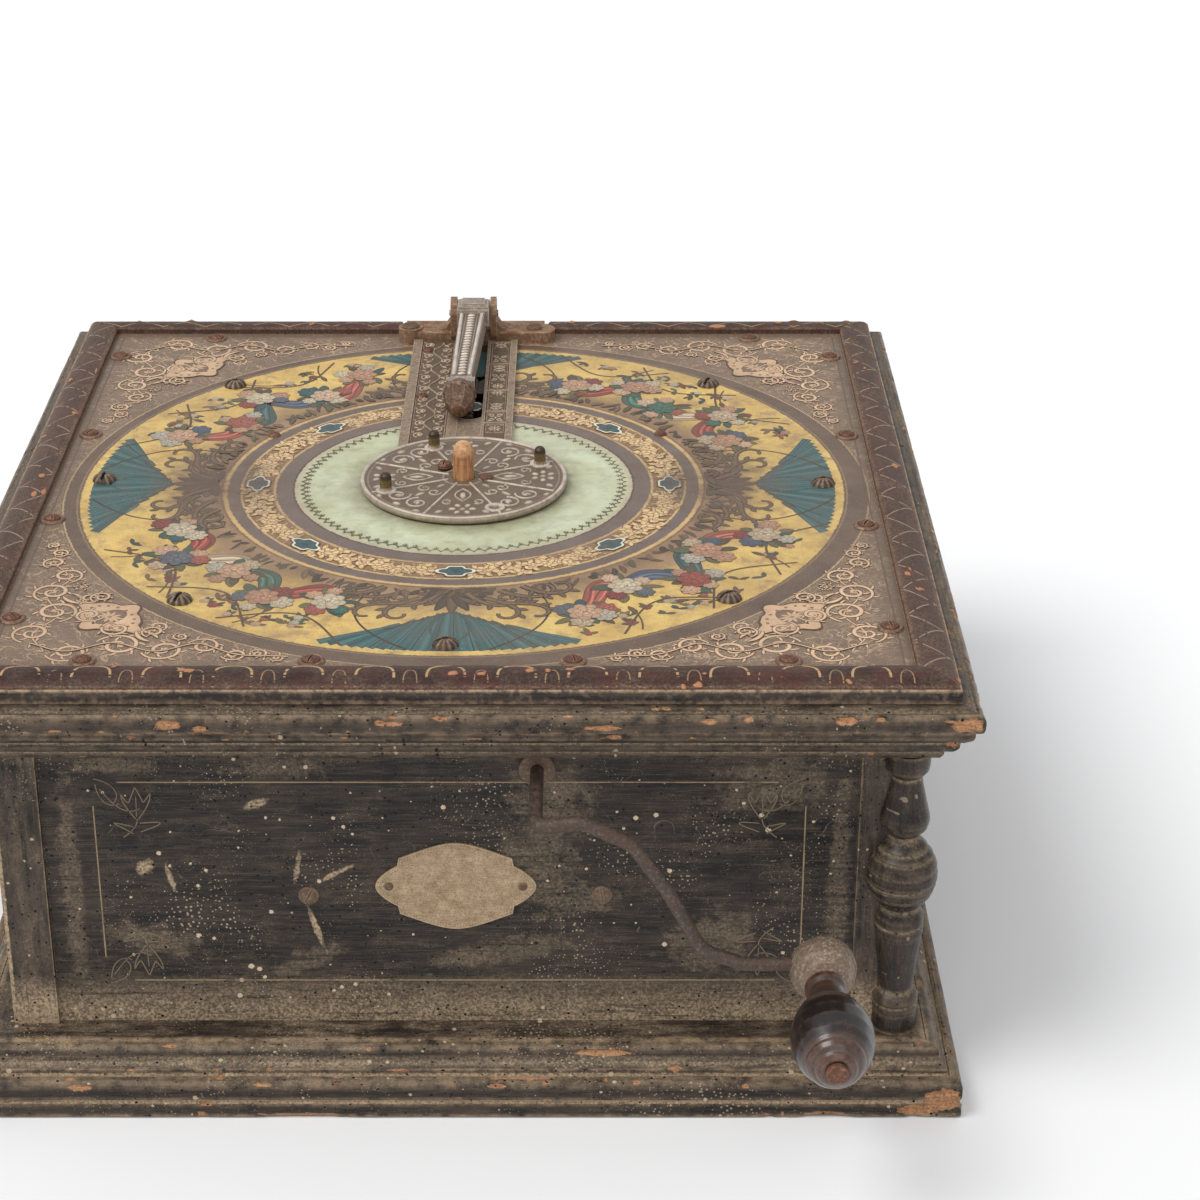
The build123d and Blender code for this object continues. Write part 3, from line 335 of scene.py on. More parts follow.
    # rubbed edges and bare patches
    if attrs:
        edge = t.attr('cvx')
    else:
        edge = t.bevel(1.2)
    rub = t.noise(0.16, 6, 0.7)
    soft = edge * t.rng(rub, 0.36, 0.60)
    col = t.mix(soft * (0.85 * wear), col, lin(176, 150, 120))
    bare = t.m('MULTIPLY', t.rng(edge, 0.25, 0.8) + (t.attr('chip') * 3.0 if attrs else 0.0), t.rng(t.noise(0.11, 6, 0.72, t.stretch(1, 1, 1, (31, 7, 3))), 0.66 - 0.06 * wear, 0.71 - 0.04 * wear), clamp=True)
    if zwear is not None:
        bare = t.m('MAXIMUM', bare, zwear(t, x, y, z))
    if attrs:
        bare = t.m('MAXIMUM', bare, t.rng(t.attr('chip') + t.rng(small, 0.3, 0.7, -0.25, 0.25), 0.5, 0.75))
    barecol = t.mix(t.rng(fine, 0.3, 0.7), lin(166, 112, 76), lin(204, 158, 116))
    barecol = t.mix(t.rng(small, 0.45, 0.7), barecol, lin(112, 80, 60))
    col = t.mix(bare * (0.9 if wear > 0 else 0.0), col, barecol)
    # pale specks of plaster, and worm holes
    pick = t.noise(0.05, 2, 0.5, t.stretch(1, 1, 1, (11, 5, 9)))
    vs = t.voro(0.10, vec=flat(40, 7), dims='2D')
    rag = t.rng(t.noise(1.4, 4, 0.75), 0.3, 0.7, -0.05, 0.05)
    sp = t.rng(vs + rag * 0.6 - t.rng(pick, 0.49, 0.72, 0.0, 0.13), 0.0, -0.015) * specks
    vs2 = t.voro(0.40, vec=flat(3, 91), dims='2D')
    sp2 = t.rng(vs2 - t.rng(t.noise(0.03, 3, 0.65, t.stretch(1, 1, 1, (1, 7, 2))), 0.46, 0.70, 0.0, 0.22) + rag, 0.0, -0.03) * specks
    vs3 = t.voro(1.1, vec=flat(13, 31), dims='2D')
    sp3 = t.rng(vs3 - t.rng(t.noise(0.16, 5, 0.75, t.stretch(1, 1, 1, (61, 7, 22))), 0.48, 0.70, 0.0, 0.28) + rag, 0.0, -0.05) * specks
    col = t.mix(t.m('MAXIMUM', sp2 * 0.8, sp3 * 0.35), col, lin(176, 158, 134))
    col = t.mix(sp, col, lin(200, 180, 152))
    hole = None
    for sc_, r_, du, dv, gate in ((0.058, 0.036, 5, 9, 0.44), (0.085, 0.044, 50, 19, 0.47), (0.14, 0.055, 9, 60, 0.53)):
        vh = t.voro(sc_, vec=flat(du, dv), dims='2D')
        h_ = t.rng(vh, r_, r_ * 0.78) * t.rng(t.noise(0.02, 2, 0.5, t.stretch(1, 1, 1, (du, dv, 3))), gate, gate + 0.02)
        hole = h_ if hole is None else t.m('MAXIMUM', hole, h_)
    hole = hole * holes
    col = t.mix(hole, col, lin(9, 8, 7))
    rough = t.mixf(film, gloss, 0.9)
    rough = t.m('ADD', rough, t.rng(small, 0.3, 0.8, -0.06, 0.1))
    rough = t.mixf(bare, rough, 0.85)
    h = streak * 0.3 + fine * 0.3 + small * 0.3 - hole * 2.2 - bare * 0.8 + mid * 0.6 + sp * 0.8 + sp2 * 0.5 + sp3 * 0.3
    return t.done(col, rough, 0.0, t.bump(h, 0.6, 0.35), spec=0.24)


def metal(name, dark, mid_c, light, attrs=True, rust=0.3, rust_col=(126, 78, 48), metallic=0.75, rough=0.48, white=0.0, scale=1.0, bump=0.35):
    t = Tree(name)
    small = t.noise(0.8 * scale, 5, 0.65)
    mid = t.noise(0.14 * scale, 5, 0.6)
    fine = t.noise(3.2 * scale, 4, 0.65)
    if attrs:
        h = t.attr('rel')
        hh = t.m('ADD', h, t.rng(small, 0.3, 0.7, -0.14, 0.14))
    else:
        hh = t.m('ADD', t.bevel(0.8) * 0.5 + 0.42, t.rng(small, 0.3, 0.7, -0.3, 0.3))
    col = t.ramp(hh, [(0.0, dark), (0.45, mid_c), (0.8, light), (1.0, light)])
    col = t.mix(t.rng(mid, 0.35, 0.7) * 0.45, col, tuple(v * 0.62 for v in mid_c))
    r = t.rng(t.noise(0.22 * scale, 6, 0.7, t.stretch(1, 1, 1, (4, 2, 8))), 0.62 - 0.22 * rust, 0.72 - 0.2 * rust)
    col = t.mix(r * (0.35 + 0.6 * rust), col, t.mix(t.rng(fine, 0.35, 0.65), lin(*rust_col), tuple(v * 0.55 for v in lin(*rust_col))))
    if white > 0:
        w = t.rng(t.noise(0.5, 5, 0.7, t.stretch(1, 1, 1, (9, 2, 4))), 0.64, 0.72) * white
        col = t.mix(w, col, lin(222, 212, 196))
    met = t.mixf(r, metallic, 0.1)
    ro = t.m('ADD', t.mixf(r, rough, 0.85), t.rng(small, 0.3, 0.7, -0.08, 0.14))
    return t.done(col, ro, met, t.bump(small * 0.5 + fine * 0.4 + mid * 0.3, bump, 0.2), spec=0.5)


# ------------------------------------------------------------------ mesh helpers
def new_mesh(name, verts, faces, attrs=None, mat=None, smooth=True, body='case', cols=None):
    me = bpy.data.meshes.new(name)
    me.from_pydata([(v[0] * MM, v[1] * MM, v[2] * MM) for v in verts], [], faces)
    me.validate()
    me.update()
    for k, a in (attrs or {}).items():
        at = me.attributes.new(k, 'FLOAT', 'POINT')
        at.data.foreach_set('value', np.asarray(a, np.float32))
    if cols is not None:
        at = me.attributes.new('Col', 'FLOAT_COLOR', 'POINT')
        c = np.ones((len(verts), 4), np.float32)
        c[:, :3] = np.asarray(cols, np.float32)[:, :3]
        at.data.foreach_set('color', c.ravel())
    if smooth:
        me.shade_smooth()
    o = bpy.data.objects.new(name, me)
    bpy.context.scene.collection.objects.link(o)
    if mat is not None:
        me.materials.append(mat)
    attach(o, body)
    return o


def resample(prof, step):
    """Closed or open profile with every corner kept and long runs divided. Returns points and convexity."""
    P = [np.array(p, float) for p in prof]
    n = len(P)
    turn = []
    for i in range(n):
        a, b, c = P[i - 1], P[i], P[(i + 1) % n]
        u, v = b - a, c - b
        cr = u[0] * v[1] - u[1] * v[0]
        dt = u @ v
        turn.append(math.atan2(cr, dt))
    pts, src = [], []
    s = 0.0
    marks = []
    for i in range(n):
        marks.append((s, turn[i]))
        a, b = P[i], P[(i + 1) % n]
        L = np.linalg.norm(b - a)
        k = max(1, int(math.ceil(L / step)))
        for j in range(k):
            pts.append(a + (b - a) * j / k)
            src.append(s + L * j / k)
        s += L
    total = s
    cvx, ccv = [], []
    for q in src:
        e1 = e2 = 0.0
        for mk, tu in marks:
            d = abs(q - mk)
            d = min(d, total - d)
            if d < 4:
                w = math.exp(-(d / 1.0) ** 2)
                if tu > 0:
                    e1 += w * tu
                else:
                    e2 -= w * tu
        cvx.append(max(0.0, min(1.0, e1 * 0.9 - e2 * 0.7)))
        ccv.append(max(0.0, min(1.0, e2 * 1.1 - e1 * 0.5)))
    return pts, cvx, ccv


def moulding(name, prof, mat, replaces, seed=1, step_along=1.6, step=0.9, chips=(), n_chips=40, spans=None, dent=0.12, body='case', sides=('front', 'right', 'back', 'left')):
    """Mitred lengths round the case with small dents and chips pressed into their edges. prof: (half width, z), counter-clockwise seen along the length."""
    rnd = random.Random(seed)
    pts, cvx, ccv = resample(prof, step)
    n = len(pts)
    P = np.array(pts)
    nrm = []
    for i in range(n):
        d = P[(i + 1) % n] - P[i - 1]
        L = np.hypot(*d) + 1e-9
        nrm.append((d[1] / L, -d[0] / L))
    nrm = np.array(nrm)
    V, F, A = [], [], {'cvx': [], 'ccv': [], 'chip': []}
    top_c = sorted((cvx[i] for i in range(n) if P[i][0] > min(P[:, 0]) + 1.0), reverse=True)
    limit = min(0.35, top_c[max(0, len(top_c) // 6)])
    edge_ids = [i for i in range(n) if cvx[i] >= limit and P[i][0] > min(P[:, 0]) + 1.0]
    for side in sides:
        runs = (spans or {}).get(side, [(-1.0, 1.0)])
        sd = {'front': 0, 'right': 1, 'back': 2, 'left': 3}[side]
        my = []
        for _ in range(n_chips):
            i = rnd.choice(edge_ids)
            my.append((rnd.uniform(-205, 205), i, rnd.uniform(0.8, 5.0) * rnd.random() + 0.6, rnd.uniform(0.7, 1.8), rnd.uniform(0.3, 1.1)))
        for c in chips:
            if c[0] == side:
                i = min(range(n), key=lambda k: (P[k][0] - c[2][0]) ** 2 + (P[k][1] - c[2][1]) ** 2)
                my.append((c[1], i, c[3], c[4], c[5]))
        for (f0, f1) in runs:
            half = max(P[:, 0]) + (DEEP if side in ('left', 'right') else 0.0)
            m = int((2 * half * (f1 - f0) / 2) / step_along)
            base = len(V)
            for j in range(m + 1):
                t = f0 + (f1 - f0) * j / m
                for i in range(n):
                    a, z = P[i]
                    A_i = a + (DEEP if side in ('left', 'right') else 0.0)
                    s = t * A_i - math.copysign(0.05, t) * (1 if abs(t) > 0.999 else 0)
                    d = dent * (mnoise.noise(Vector((s / 23.0, i * 0.35, sd * 9.1 + seed))) - 1.0) * 0.5
                    d += 0.35 * dent * (mnoise.noise(Vector((s / 4.0, i * 0.8, sd * 5.3 + seed + 40))) - 1.0) * 0.5
                    chip = 0.0
                    for (cs, ci, ca, cw, cd) in my:
                        ds = (s - cs) / ca
                        if abs(ds) < 1.6:
                            di = np.hypot(P[i][0] - P[ci][0], P[i][1] - P[ci][1]) / cw
                            if di < 1.6:
                                r2 = ds * ds + di * di + 0.5 * mnoise.noise(Vector((s * 0.9, di * 2, ci)))
                                w = max(0.0, 1.0 - r2)
                                if w > 0:
                                    chip = max(chip, min(1.0, w * 1.8))
                                    d -= cd * min(1.0, w * 1.5)
                    inner = P[i][0] < min(P[:, 0]) + 0.3
                    if inner:
                        d = 0.0
                    aa, zz = a + nrm[i][0] * d, z + nrm[i][1] * d
                    if side == 'front':
                        V.append((s, -(aa + DEEP), zz))
                    elif side == 'back':
                        V.append((-s, aa + DEEP, zz))
                    elif side == 'right':
                        V.append((aa, s, zz))
                    else:
                        V.append((-aa, -s, zz))
                    A['cvx'].append(cvx[i]); A['ccv'].append(ccv[i]); A['chip'].append(chip)
            for j in range(m):
                for i in range(n):
                    k = (i + 1) % n
                    F.append((base + j * n + i, base + j * n + k, base + (j + 1) * n + k, base + (j + 1) * n + i)[::-1])
            F.append(tuple(base + i for i in range(n)))
            F.append(tuple(base + m * n + i for i in range(n))[::-1])
    o = new_mesh(name, V, F, A, mat, smooth=True, body=body)
    sharp_by_angle(o, 32)
    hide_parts(*replaces)
    return o


def sharp_by_angle(o, deg):
    o.data.set_sharp_from_angle(angle=math.radians(deg))


def lathe(name, prof, mat, origin, axis='Z', seg=72, replaces=(), body='case', step=0.8, wob=0.0, seed=0, sharp=38, gap=None, keep_open=False):
    """Turned piece: prof = (radius, height) from one end of the axis to the other."""
    P = [np.array(p, float) for p in prof]
    pts = []
    for i in range(len(P) - 1):
        L = np.linalg.norm(P[i + 1] - P[i])
        k = max(1, int(math.ceil(L / step)))
        for j in range(k):
            pts.append(P[i] + (P[i + 1] - P[i]) * j / k)
    pts.append(P[-1])
    loop = [(p[0], p[1]) for p in pts]
    # convexity from the open profile, mirrored for closing
    n = len(loop)
    tv = []
    for i in range(n):
        a = np.array(loop[max(0, i - 1)]); b = np.array(loop[i]); c = np.array(loop[min(n - 1, i + 1)])
        u, v = b - a, c - b
        tv.append(math.atan2(u[0] * v[1] - u[1] * v[0], u @ v) if 0 < i < n - 1 else 0.0)
    s = np.concatenate([[0], np.cumsum([np.linalg.norm(np.array(loop[i + 1]) - np.array(loop[i])) for i in range(n - 1)])])
    sign = 1.0 if P[-1][1] > P[0][1] else -1.0
    cvx, ccv = [], []
    for i in range(n):
        w = np.exp(-((s - s[i]) / 0.9) ** 2)
        e1 = float(sum(w[k] * tv[k] for k in range(n) if tv[k] * sign > 0) * sign)
        e2 = float(-sum(w[k] * tv[k] for k in range(n) if tv[k] * sign < 0) * sign)
        cvx.append(max(0, min(1, e1 * 0.9 - e2 * 0.6))); ccv.append(max(0, min(1, e2 * 1.1 - e1 * 0.4)))
    V, F, A = [], [], {'cvx': [], 'ccv': [], 'chip': [], 'h': []}
    rings = []
    for i, (r, h) in enumerate(loop):
        if r < 1e-6:
            rings.append([len(V)])
            V.append((0.0, 0.0, h)); A['cvx'].append(cvx[i]); A['ccv'].append(ccv[i]); A['chip'].append(0.0); A['h'].append(h)
            continue
        ring = []
        for j in range(seg):
            a = 2 * PI * j / seg
            q = r
            if wob:
                q = r + wob * (mnoise.noise(Vector((math.cos(a) * 1.3, math.sin(a) * 1.3, h / 7.0 + seed * 3.7))) - 0.6)
            ring.append(len(V))
            V.append((q * math.cos(a), q * math.sin(a), h))
            A['cvx'].append(cvx[i]); A['ccv'].append(ccv[i]); A['chip'].append(0.0); A['h'].append(h)
        rings.append(ring)
    for a, b in zip(rings, rings[1:]):
        if len(a) == 1 and len(b) == 1:
            continue
        for j in range(seg):
            k = (j + 1) % seg
            if len(a) == 1:
                f = (a[0], b[k], b[j])
            elif len(b) == 1:
                f = (a[j], a[k], b[0])
            else:
                f = (a[j], a[k], b[k], b[j])
            F.append(f if sign > 0 else f[::-1])
    for ring, flip in ((rings[0], True), (rings[-1], False)):
        if len(ring) > 1 and not keep_open:
            f = tuple(ring)
            F.append(f[::-1] if flip == (sign > 0) else f)
    ox, oy, oz = origin
    W = []
    for (x, y, z) in V:
        if axis == 'Z':
            W.append((ox + x, oy + y, oz + z))
        elif axis == 'Y':           # height runs along +Y
            W.append((ox + x, oy + z, oz - y))
        else:                       # any frame given as three vectors
            e1, e2, e3 = axis
            W.append((ox + x * e1[0] + y * e2[0] + z * e3[0], oy + x * e1[1] + y * e2[1] + z * e3[1], oz + x * e1[2] + y * e2[2] + z * e3[2]))
    o = new_mesh(name, W, F, A, mat, smooth=True, body=body)
    sharp_by_angle(o, sharp)
    if replaces:
        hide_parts(*replaces)
    return o


# ------------------------------------------------------------------ flat ornament: ribbons and discs with colours
class Ornament:
    def __init__(self, place, lift=0.0012):
        self.place = place          # (u, v, height above the surface) -> (x, y, z) mm
        self.V, self.F, self.C, self.K = [], [], [], []
        self.n = 0
        self.lift = lift

    def _h(self):
        self.n += 1
        return 0.02 + self.lift * (self.n % 300)

    def ribbon(self, pts, w, col, edge=None, h=None, k=0.0):
        pts = np.asarray(pts, float)
        m = len(pts)
        if m < 2:
            return
        w = np.full(m, w, float) if np.isscalar(w) else np.asarray(w, float)
        d = np.gradient(pts, axis=0)
        L = np.hypot(d[:, 0], d[:, 1]) + 1e-9
        nx, ny = -d[:, 1] / L, d[:, 0] / L
        h = self._h() if h is None else h
        edge = col if edge is None else edge
        b = len(self.V)
        for i in range(m):
            for s, c in ((1, edge), (0, col), (-1, edge)):
                u, v = pts[i, 0] + nx[i] * w[i] * s, pts[i, 1] + ny[i] * w[i] * s
                self.V.append(self.place(u, v, h)); self.C.append(c); self.K.append(k)
        for i in range(m - 1):
            for q in (0, 1):
                a = b + 3 * i + q
                self.F.append((a, a + 1, a + 4, a + 3))

    def disc(self, cx, cy, rx, ry, col, rot=0.0, edge=None, seg=18, k=0.0):
        h = self._h()
        b = len(self.V)
        edge = col if edge is None else edge
        self.V.append(self.place(cx, cy, h)); self.C.append(col); self.K.append(k)
        c, s = math.cos(rot), math.sin(rot)
        for j in range(seg):
            a = 2 * PI * j / seg
            x, y = rx * math.cos(a), ry * math.sin(a)
            self.V.append(self.place(cx + x * c - y * s, cy + x * s + y * c, h)); self.C.append(edge); self.K.append(k)
        for j in range(seg):
            self.F.append((b, b + 1 + j, b + 1 + (j + 1) % seg))

    def poly(self, pts, col, edge=None, centre=None, k=0.0, h=None):
        """Star shaped outline filled from its centre."""
        pts = np.asarray(pts, float)
        h = self._h() if h is None else h
        c = pts.mean(0) if centre is None else centre
        edge = col if edge is None else edge
        b = len(self.V)
        self.V.append(self.place(c[0], c[1], h)); self.C.append(col); self.K.append(k)
        for p in pts:
            self.V.append(self.place(p[0], p[1], h)); self.C.append(edge); self.K.append(k)
        m = len(pts)
        for j in range(m):
            self.F.append((b, b + 1 + j, b + 1 + (j + 1) % m))

    def leaf(self, p, ang, L, w, col, edge=None, bend=0.0, out=None, ow=0.3, n=10):
        t = np.linspace(0, 1, n)
        th = ang + bend * t
        x = p[0] + np.concatenate([[0], np.cumsum(np.cos(th[:-1]) * L / (n - 1))])
        y = p[1] + np.concatenate([[0], np.cumsum(np.sin(th[:-1]) * L / (n - 1))])
        ww = w * np.sin(PI * np.clip(t * 0.96 + 0.03, 0, 1)) ** 0.8
        if out is not None:
            self.ribbon(np.stack([x, y], 1), ww + ow, out)
        self.ribbon(np.stack([x, y], 1), ww, col, edge)
        return x[-1], y[-1]

    def make(self, name, mat, body='case'):
        o = new_mesh(name, self.V, self.F, {'k': self.K}, mat, smooth=False, body=body, cols=self.C)
        return o


def clothoid(p, h, L, k0, k1, power=2.0, n=40):
    s = np.linspace(0, 1, n)
    k = k0 + (k1 - k0) * s ** power
    th = h + np.concatenate([[0], np.cumsum((k[:-1] + k[1:]) / 2 * L / (n - 1))])
    x = p[0] + np.concatenate([[0], np.cumsum(np.cos((th[:-1] + th[1:]) / 2) * L / (n - 1))])
    y = p[1] + np.concatenate([[0], np.cumsum(np.sin((th[:-1] + th[1:]) / 2) * L / (n - 1))])
    return np.stack([x, y], 1), th



# ------------------------------------------------------------------ surfaces of the top
GOLD = lin(226, 190, 124)
GOLD2 = lin(206, 168, 100)
PEACH = lin(226, 190, 156)
TAUPE = lin(122, 104, 90)
TAUPE_D = lin(96, 78, 66)
TEAL = lin(72, 122, 122)
TEAL_D = lin(50, 92, 96)
CREAM = lin(232, 218, 184)
RED = lin(176, 84, 72)
ROSE = lin(206, 134, 116)
GREEN = lin(96, 120, 92)
BROWN = lin(104, 82, 62)


def print_wear(t, col, x, y, keep=0.9):
    """Varnish, rubbing, stains and painted shade that lie over everything printed on the top."""
    r2 = t.m('SQRT', x * x + (y - CY) * (y - CY))
    haze = t.noise(0.018, 4, 0.6)
    mid = t.noise(0.11, 5, 0.65)
    fine = t.noise(1.1, 4, 0.7)
    grain = t.noise(0.35, 5, 0.7, t.stretch(0.22, 1.5, 1.0))
    col = t.mix(t.rng(haze, 0.4, 0.72) * 0.32, col, lin(128, 108, 92))
    col = t.mix(t.rng(mid, 0.5, 0.78) * 0.42, col, lin(118, 98, 82))
    col = t.mix(t.rng(grain, 0.6, 0.82) * 0.35, col, lin(100, 80, 64))
    col = t.mix(t.rng(fine, 0.42, 0.2) * 0.22, col, lin(206, 184, 156))
    # rubbed dark at the left and right, where the discs turn
    ang = t.m('ABSOLUTE', t.m('DIVIDE', y - CY, r2 + 0.01))
    side = t.rng(ang, 0.42, 0.05, smooth=True) * t.rng(r2, 76, 96, smooth=True) * t.rng(r2, 150, 118, smooth=True)
    col = t.mix(side * t.rng(mid, 0.3, 0.62, 0.25, 0.85), col, lin(104, 86, 72))
    # painted shade against the raised strips, darker towards them and blotchy
    ex = t.m('MAXIMUM', t.m('ABSOLUTE', x), t.m('ABSOLUTE', y) - DEEP)
    col = t.mix(t.rng(ex, 168, 181, smooth=True) * t.rng(mid, 0.25, 0.7, 0.35, 0.8), col, lin(104, 86, 72))
    # fine scratches and flecks
    v = t.voro(0.24, vec=t.stretch(1, 1, 1, (3, 8, 1)))
    col = t.mix(t.rng(v, 0.075, 0.045) * t.rng(t.noise(0.04, 2, 0.5), 0.46, 0.6), col, lin(74, 56, 44))
    v2 = t.voro(0.5, vec=t.stretch(1, 1, 1, (13, 2, 1)))
    col = t.mix(t.rng(v2, 0.08, 0.05) * t.rng(t.noise(0.05, 2, 0.5, t.stretch(1, 1, 1, (9, 9, 9))), 0.5, 0.62), col, lin(236, 226, 206))
    rough = t.m('ADD', t.rng(mid, 0.3, 0.75, 0.42, 0.66), t.rng(fine, 0.3, 0.7, -0.05, 0.08))
    bump = t.bump(grain * 0.5 + fine * 0.3 + mid * 0.4, 0.3, 0.18)
    return col, rough, bump


def mat_print_ground():
    t = Tree('printed_sheet')
    x, y, z = t.sep(t.pos())
    r = t.m('SQRT', x * x + (y - CY) * (y - CY))
    wob = t.rng(t.noise(0.5, 3, 0.6), 0.3, 0.7, -0.35, 0.35)
    rw = r + wob
    cloud = t.noise(0.045, 5, 0.65)
    hatch = t.wave(0.9, 2.5, t.stretch(1, 1, 1), 'DIAGONAL')
    # ring field: yellow towards the rim, brown earth towards the middle
    yel = t.mix(t.rng(cloud, 0.3, 0.7), lin(236, 203, 120), lin(216, 178, 104))
    yel = t.mix(t.rng(t.noise(0.3, 5, 0.7), 0.55, 0.75) * 0.5, yel, lin(178, 142, 92))
    earth = t.mix(t.rng(cloud, 0.35, 0.7), lin(170, 138, 106), lin(116, 92, 74))
    field = t.mix(t.rng(rw + t.rng(cloud, 0.2, 0.8, -15, 15), 112, 136, 1.0, 0.0, smooth=True), yel, earth)
    grit = t.noise(1.6, 3, 0.75)
    lines = t.wave(1.35, 1.2, t.stretch(1, 0.4, 1), 'Y')
    field = t.mix(t.rng(grit, 0.50, 0.62) * 0.42, field, t.mix(0.6, field, lin(92, 68, 46)))
    field = t.mix(t.rng(lines, 0.55, 0.9) * t.rng(cloud, 0.42, 0.62) * 0.4, field, lin(126, 98, 68))
    field = t.mix(t.rng(t.noise(0.09, 5, 0.7, t.stretch(1, 1, 1, (60, 2, 2))), 0.50, 0.66) * 0.65, field, lin(150, 120, 92))
    corner = t.mix(t.rng(cloud, 0.3, 0.7), lin(136, 115, 95), lin(108, 90, 75))
    corner = t.mix(t.rng(grit, 0.5, 0.62) * 0.35, corner, lin(84, 68, 58))
    corner = t.mix(t.rng(hatch, 0.3, 0.9) * 0.22, corner, lin(150, 130, 108))
    twine = t.m('ABSOLUTE', t.noise(0.075, 2, 0.4, t.stretch(1, 1, 1, (17, 3, 5)), dist=2.2) - 0.5)
    twine2 = t.m('ABSOLUTE', t.noise(0.13, 1, 0.4, t.stretch(1, 1, 1, (4, 33, 5)), dist=2.6) - 0.5)
    corner = t.mix(t.rng(twine2, 0.022, 0.010) * 0.45, corner, lin(196, 162, 130))
    corner = t.mix(t.rng(twine, 0.016, 0.008) * 0.6, corner, lin(214, 178, 144))
    band = t.mix(t.rng(cloud, 0.3, 0.7), lin(120, 106, 98), lin(104, 90, 82))
    arab = t.mix(t.rng(t.noise(0.4, 4, 0.7), 0.35, 0.65), lin(118, 94, 70), lin(158, 126, 90))
    mint = t.mix(t.rng(t.noise(0.06, 5, 0.65), 0.3, 0.7), lin(214, 222, 192), lin(192, 196, 156))
    streaks = t.noise(0.3, 5, 0.7, t.stretch(0.25, 0.8, 1.0))
    mint = t.mix(t.rng(streaks, 0.56, 0.78) * 0.5, mint, lin(150, 132, 104))
    mint = t.mix(t.rng(r, 58, 45, smooth=True) * t.rng(t.noise(0.12, 5, 0.65), 0.25, 0.7, 0.3, 0.8), mint, lin(132, 128, 98))
    mint = t.mix(t.rng(r, 64, 71, smooth=True) * 0.35, mint, lin(176, 166, 132))

    def ringm(a, b, s=0.25):
        return t.rng(rw, a - s, a + s) * t.rng(rw, b + s, b - s)
    xo, yo = x - 1.8, y - (CY - 1.8)
    ro = t.m('SQRT', xo * xo + yo * yo) + wob
    col = t.mix(t.rng(ro, 176.2, 176.6), field, corner)
    dark_band = t.mix(t.rng(cloud, 0.3, 0.7), lin(112, 92, 78), lin(84, 68, 58))
    dark_band = t.mix(t.rng(grit, 0.5, 0.62) * 0.4, dark_band, lin(140, 116, 94))
    col = t.mix(t.rng(rw, 166.4, 166.9) * t.rng(ro, 176.6, 176.2), col, dark_band)
    col = t.mix(ringm(167.6, 168.2), col, lin(150, 124, 94))
    col = t.mix(t.rng(ro, 174.9, 175.2) * t.rng(ro, 176.0, 175.7), col, lin(184, 156, 120))
    col = t.mix(ringm(97.6, 103.2), col, band)
    col = t.mix(ringm(103.4, 105.2), col, lin(208, 174, 116))
    col = t.mix(ringm(105.6, 106.3), col, lin(120, 92, 66))
    col = t.mix(t.rng(rw, 97.9, 97.4), col, arab)
    col = t.mix(ringm(96.7, 97.7), col, lin(212, 178, 124))
    col = t.mix(t.rng(rw, 83.6, 83.1), col, band)
    col = t.mix(ringm(82.2, 83.4), col, lin(196, 164, 118))
    col = t.mix(ringm(74.2, 75.0), col, lin(84, 70, 60))
    col = t.mix(t.rng(rw, 74.3, 73.9), col, lin(196, 184, 156))
    col = t.mix(t.rng(rw, 72.6, 72.2), col, mint)
    # straight border of the sheet
    ax = t.m('ABSOLUTE', x)
    ay = t.m('ABSOLUTE', y) - DEEP
    e = t.m('MAXIMUM', ax, ay) + wob * 0.6
    col = t.mix(t.rng(e, 175.6, 175.9) * t.rng(e, 176.7, 176.4), col, lin(96, 78, 66))
    col = t.mix(t.rng(e, 176.6, 179.8) * t.rng(cloud, 0.3, 0.6, 0.3, 0.8), col, lin(112, 94, 80))
    # wood of the board's own edges
    nx, ny, nz = t.sep(t.normal())
    col, rough, bump = print_wear(t, col, x, y)
    st = t.noise(0.45, 5, 0.6, t.stretch(0.06, 1.0, 1.0))
    gr = t.noise(0.3, 6, 0.72)
    side = t.mix(t.rng(st, 0.40, 0.70), lin(27, 24, 23), lin(74, 61, 52))
    side = t.mix(t.rng(gr, 0.50, 0.64) * 0.6, side, lin(124, 104, 84))
    side = t.mix(t.rng(z, 188.6, 189.8) * t.rng(gr, 0.34, 0.56), side, lin(164, 138, 110))
    side = t.mix(t.rng(z, 186.2, 184.6) * t.rng(gr, 0.34, 0.60), side, lin(142, 120, 98))
    col = t.mix(t.rng(e, 180.0, 180.3), col, side)
    return t.done(col, rough, 0.0, bump, spec=0.4, coat=0.12, coat_rough=0.3)


def mat_print_ink():
    t = Tree('printed_ink')
    x, y, z = t.sep(t.pos())
    c = t.attr('Col', True)
    n = t.noise(0.9, 4, 0.7)
    hatch = t.wave(1.5, 3.0, None, 'DIAGONAL')
    c = t.mix(t.rng(hatch, 0.62, 0.95) * 0.3, c, t.mix(0.75, c, lin(70, 50, 36)))
    c = t.mix(t.rng(n, 0.58, 0.75) * 0.55, c, lin(132, 110, 90))
    c = t.mix(t.rng(n, 0.36, 0.2) * 0.35, c, lin(240, 224, 190))
    col, rough, bump = print_wear(t, c, x, y)
    return t.done(col, rough, 0.0, bump, spec=0.4, coat=0.12, coat_rough=0.3)


M_PRINT = mat_print_ground()
M_INK = mat_print_ink()


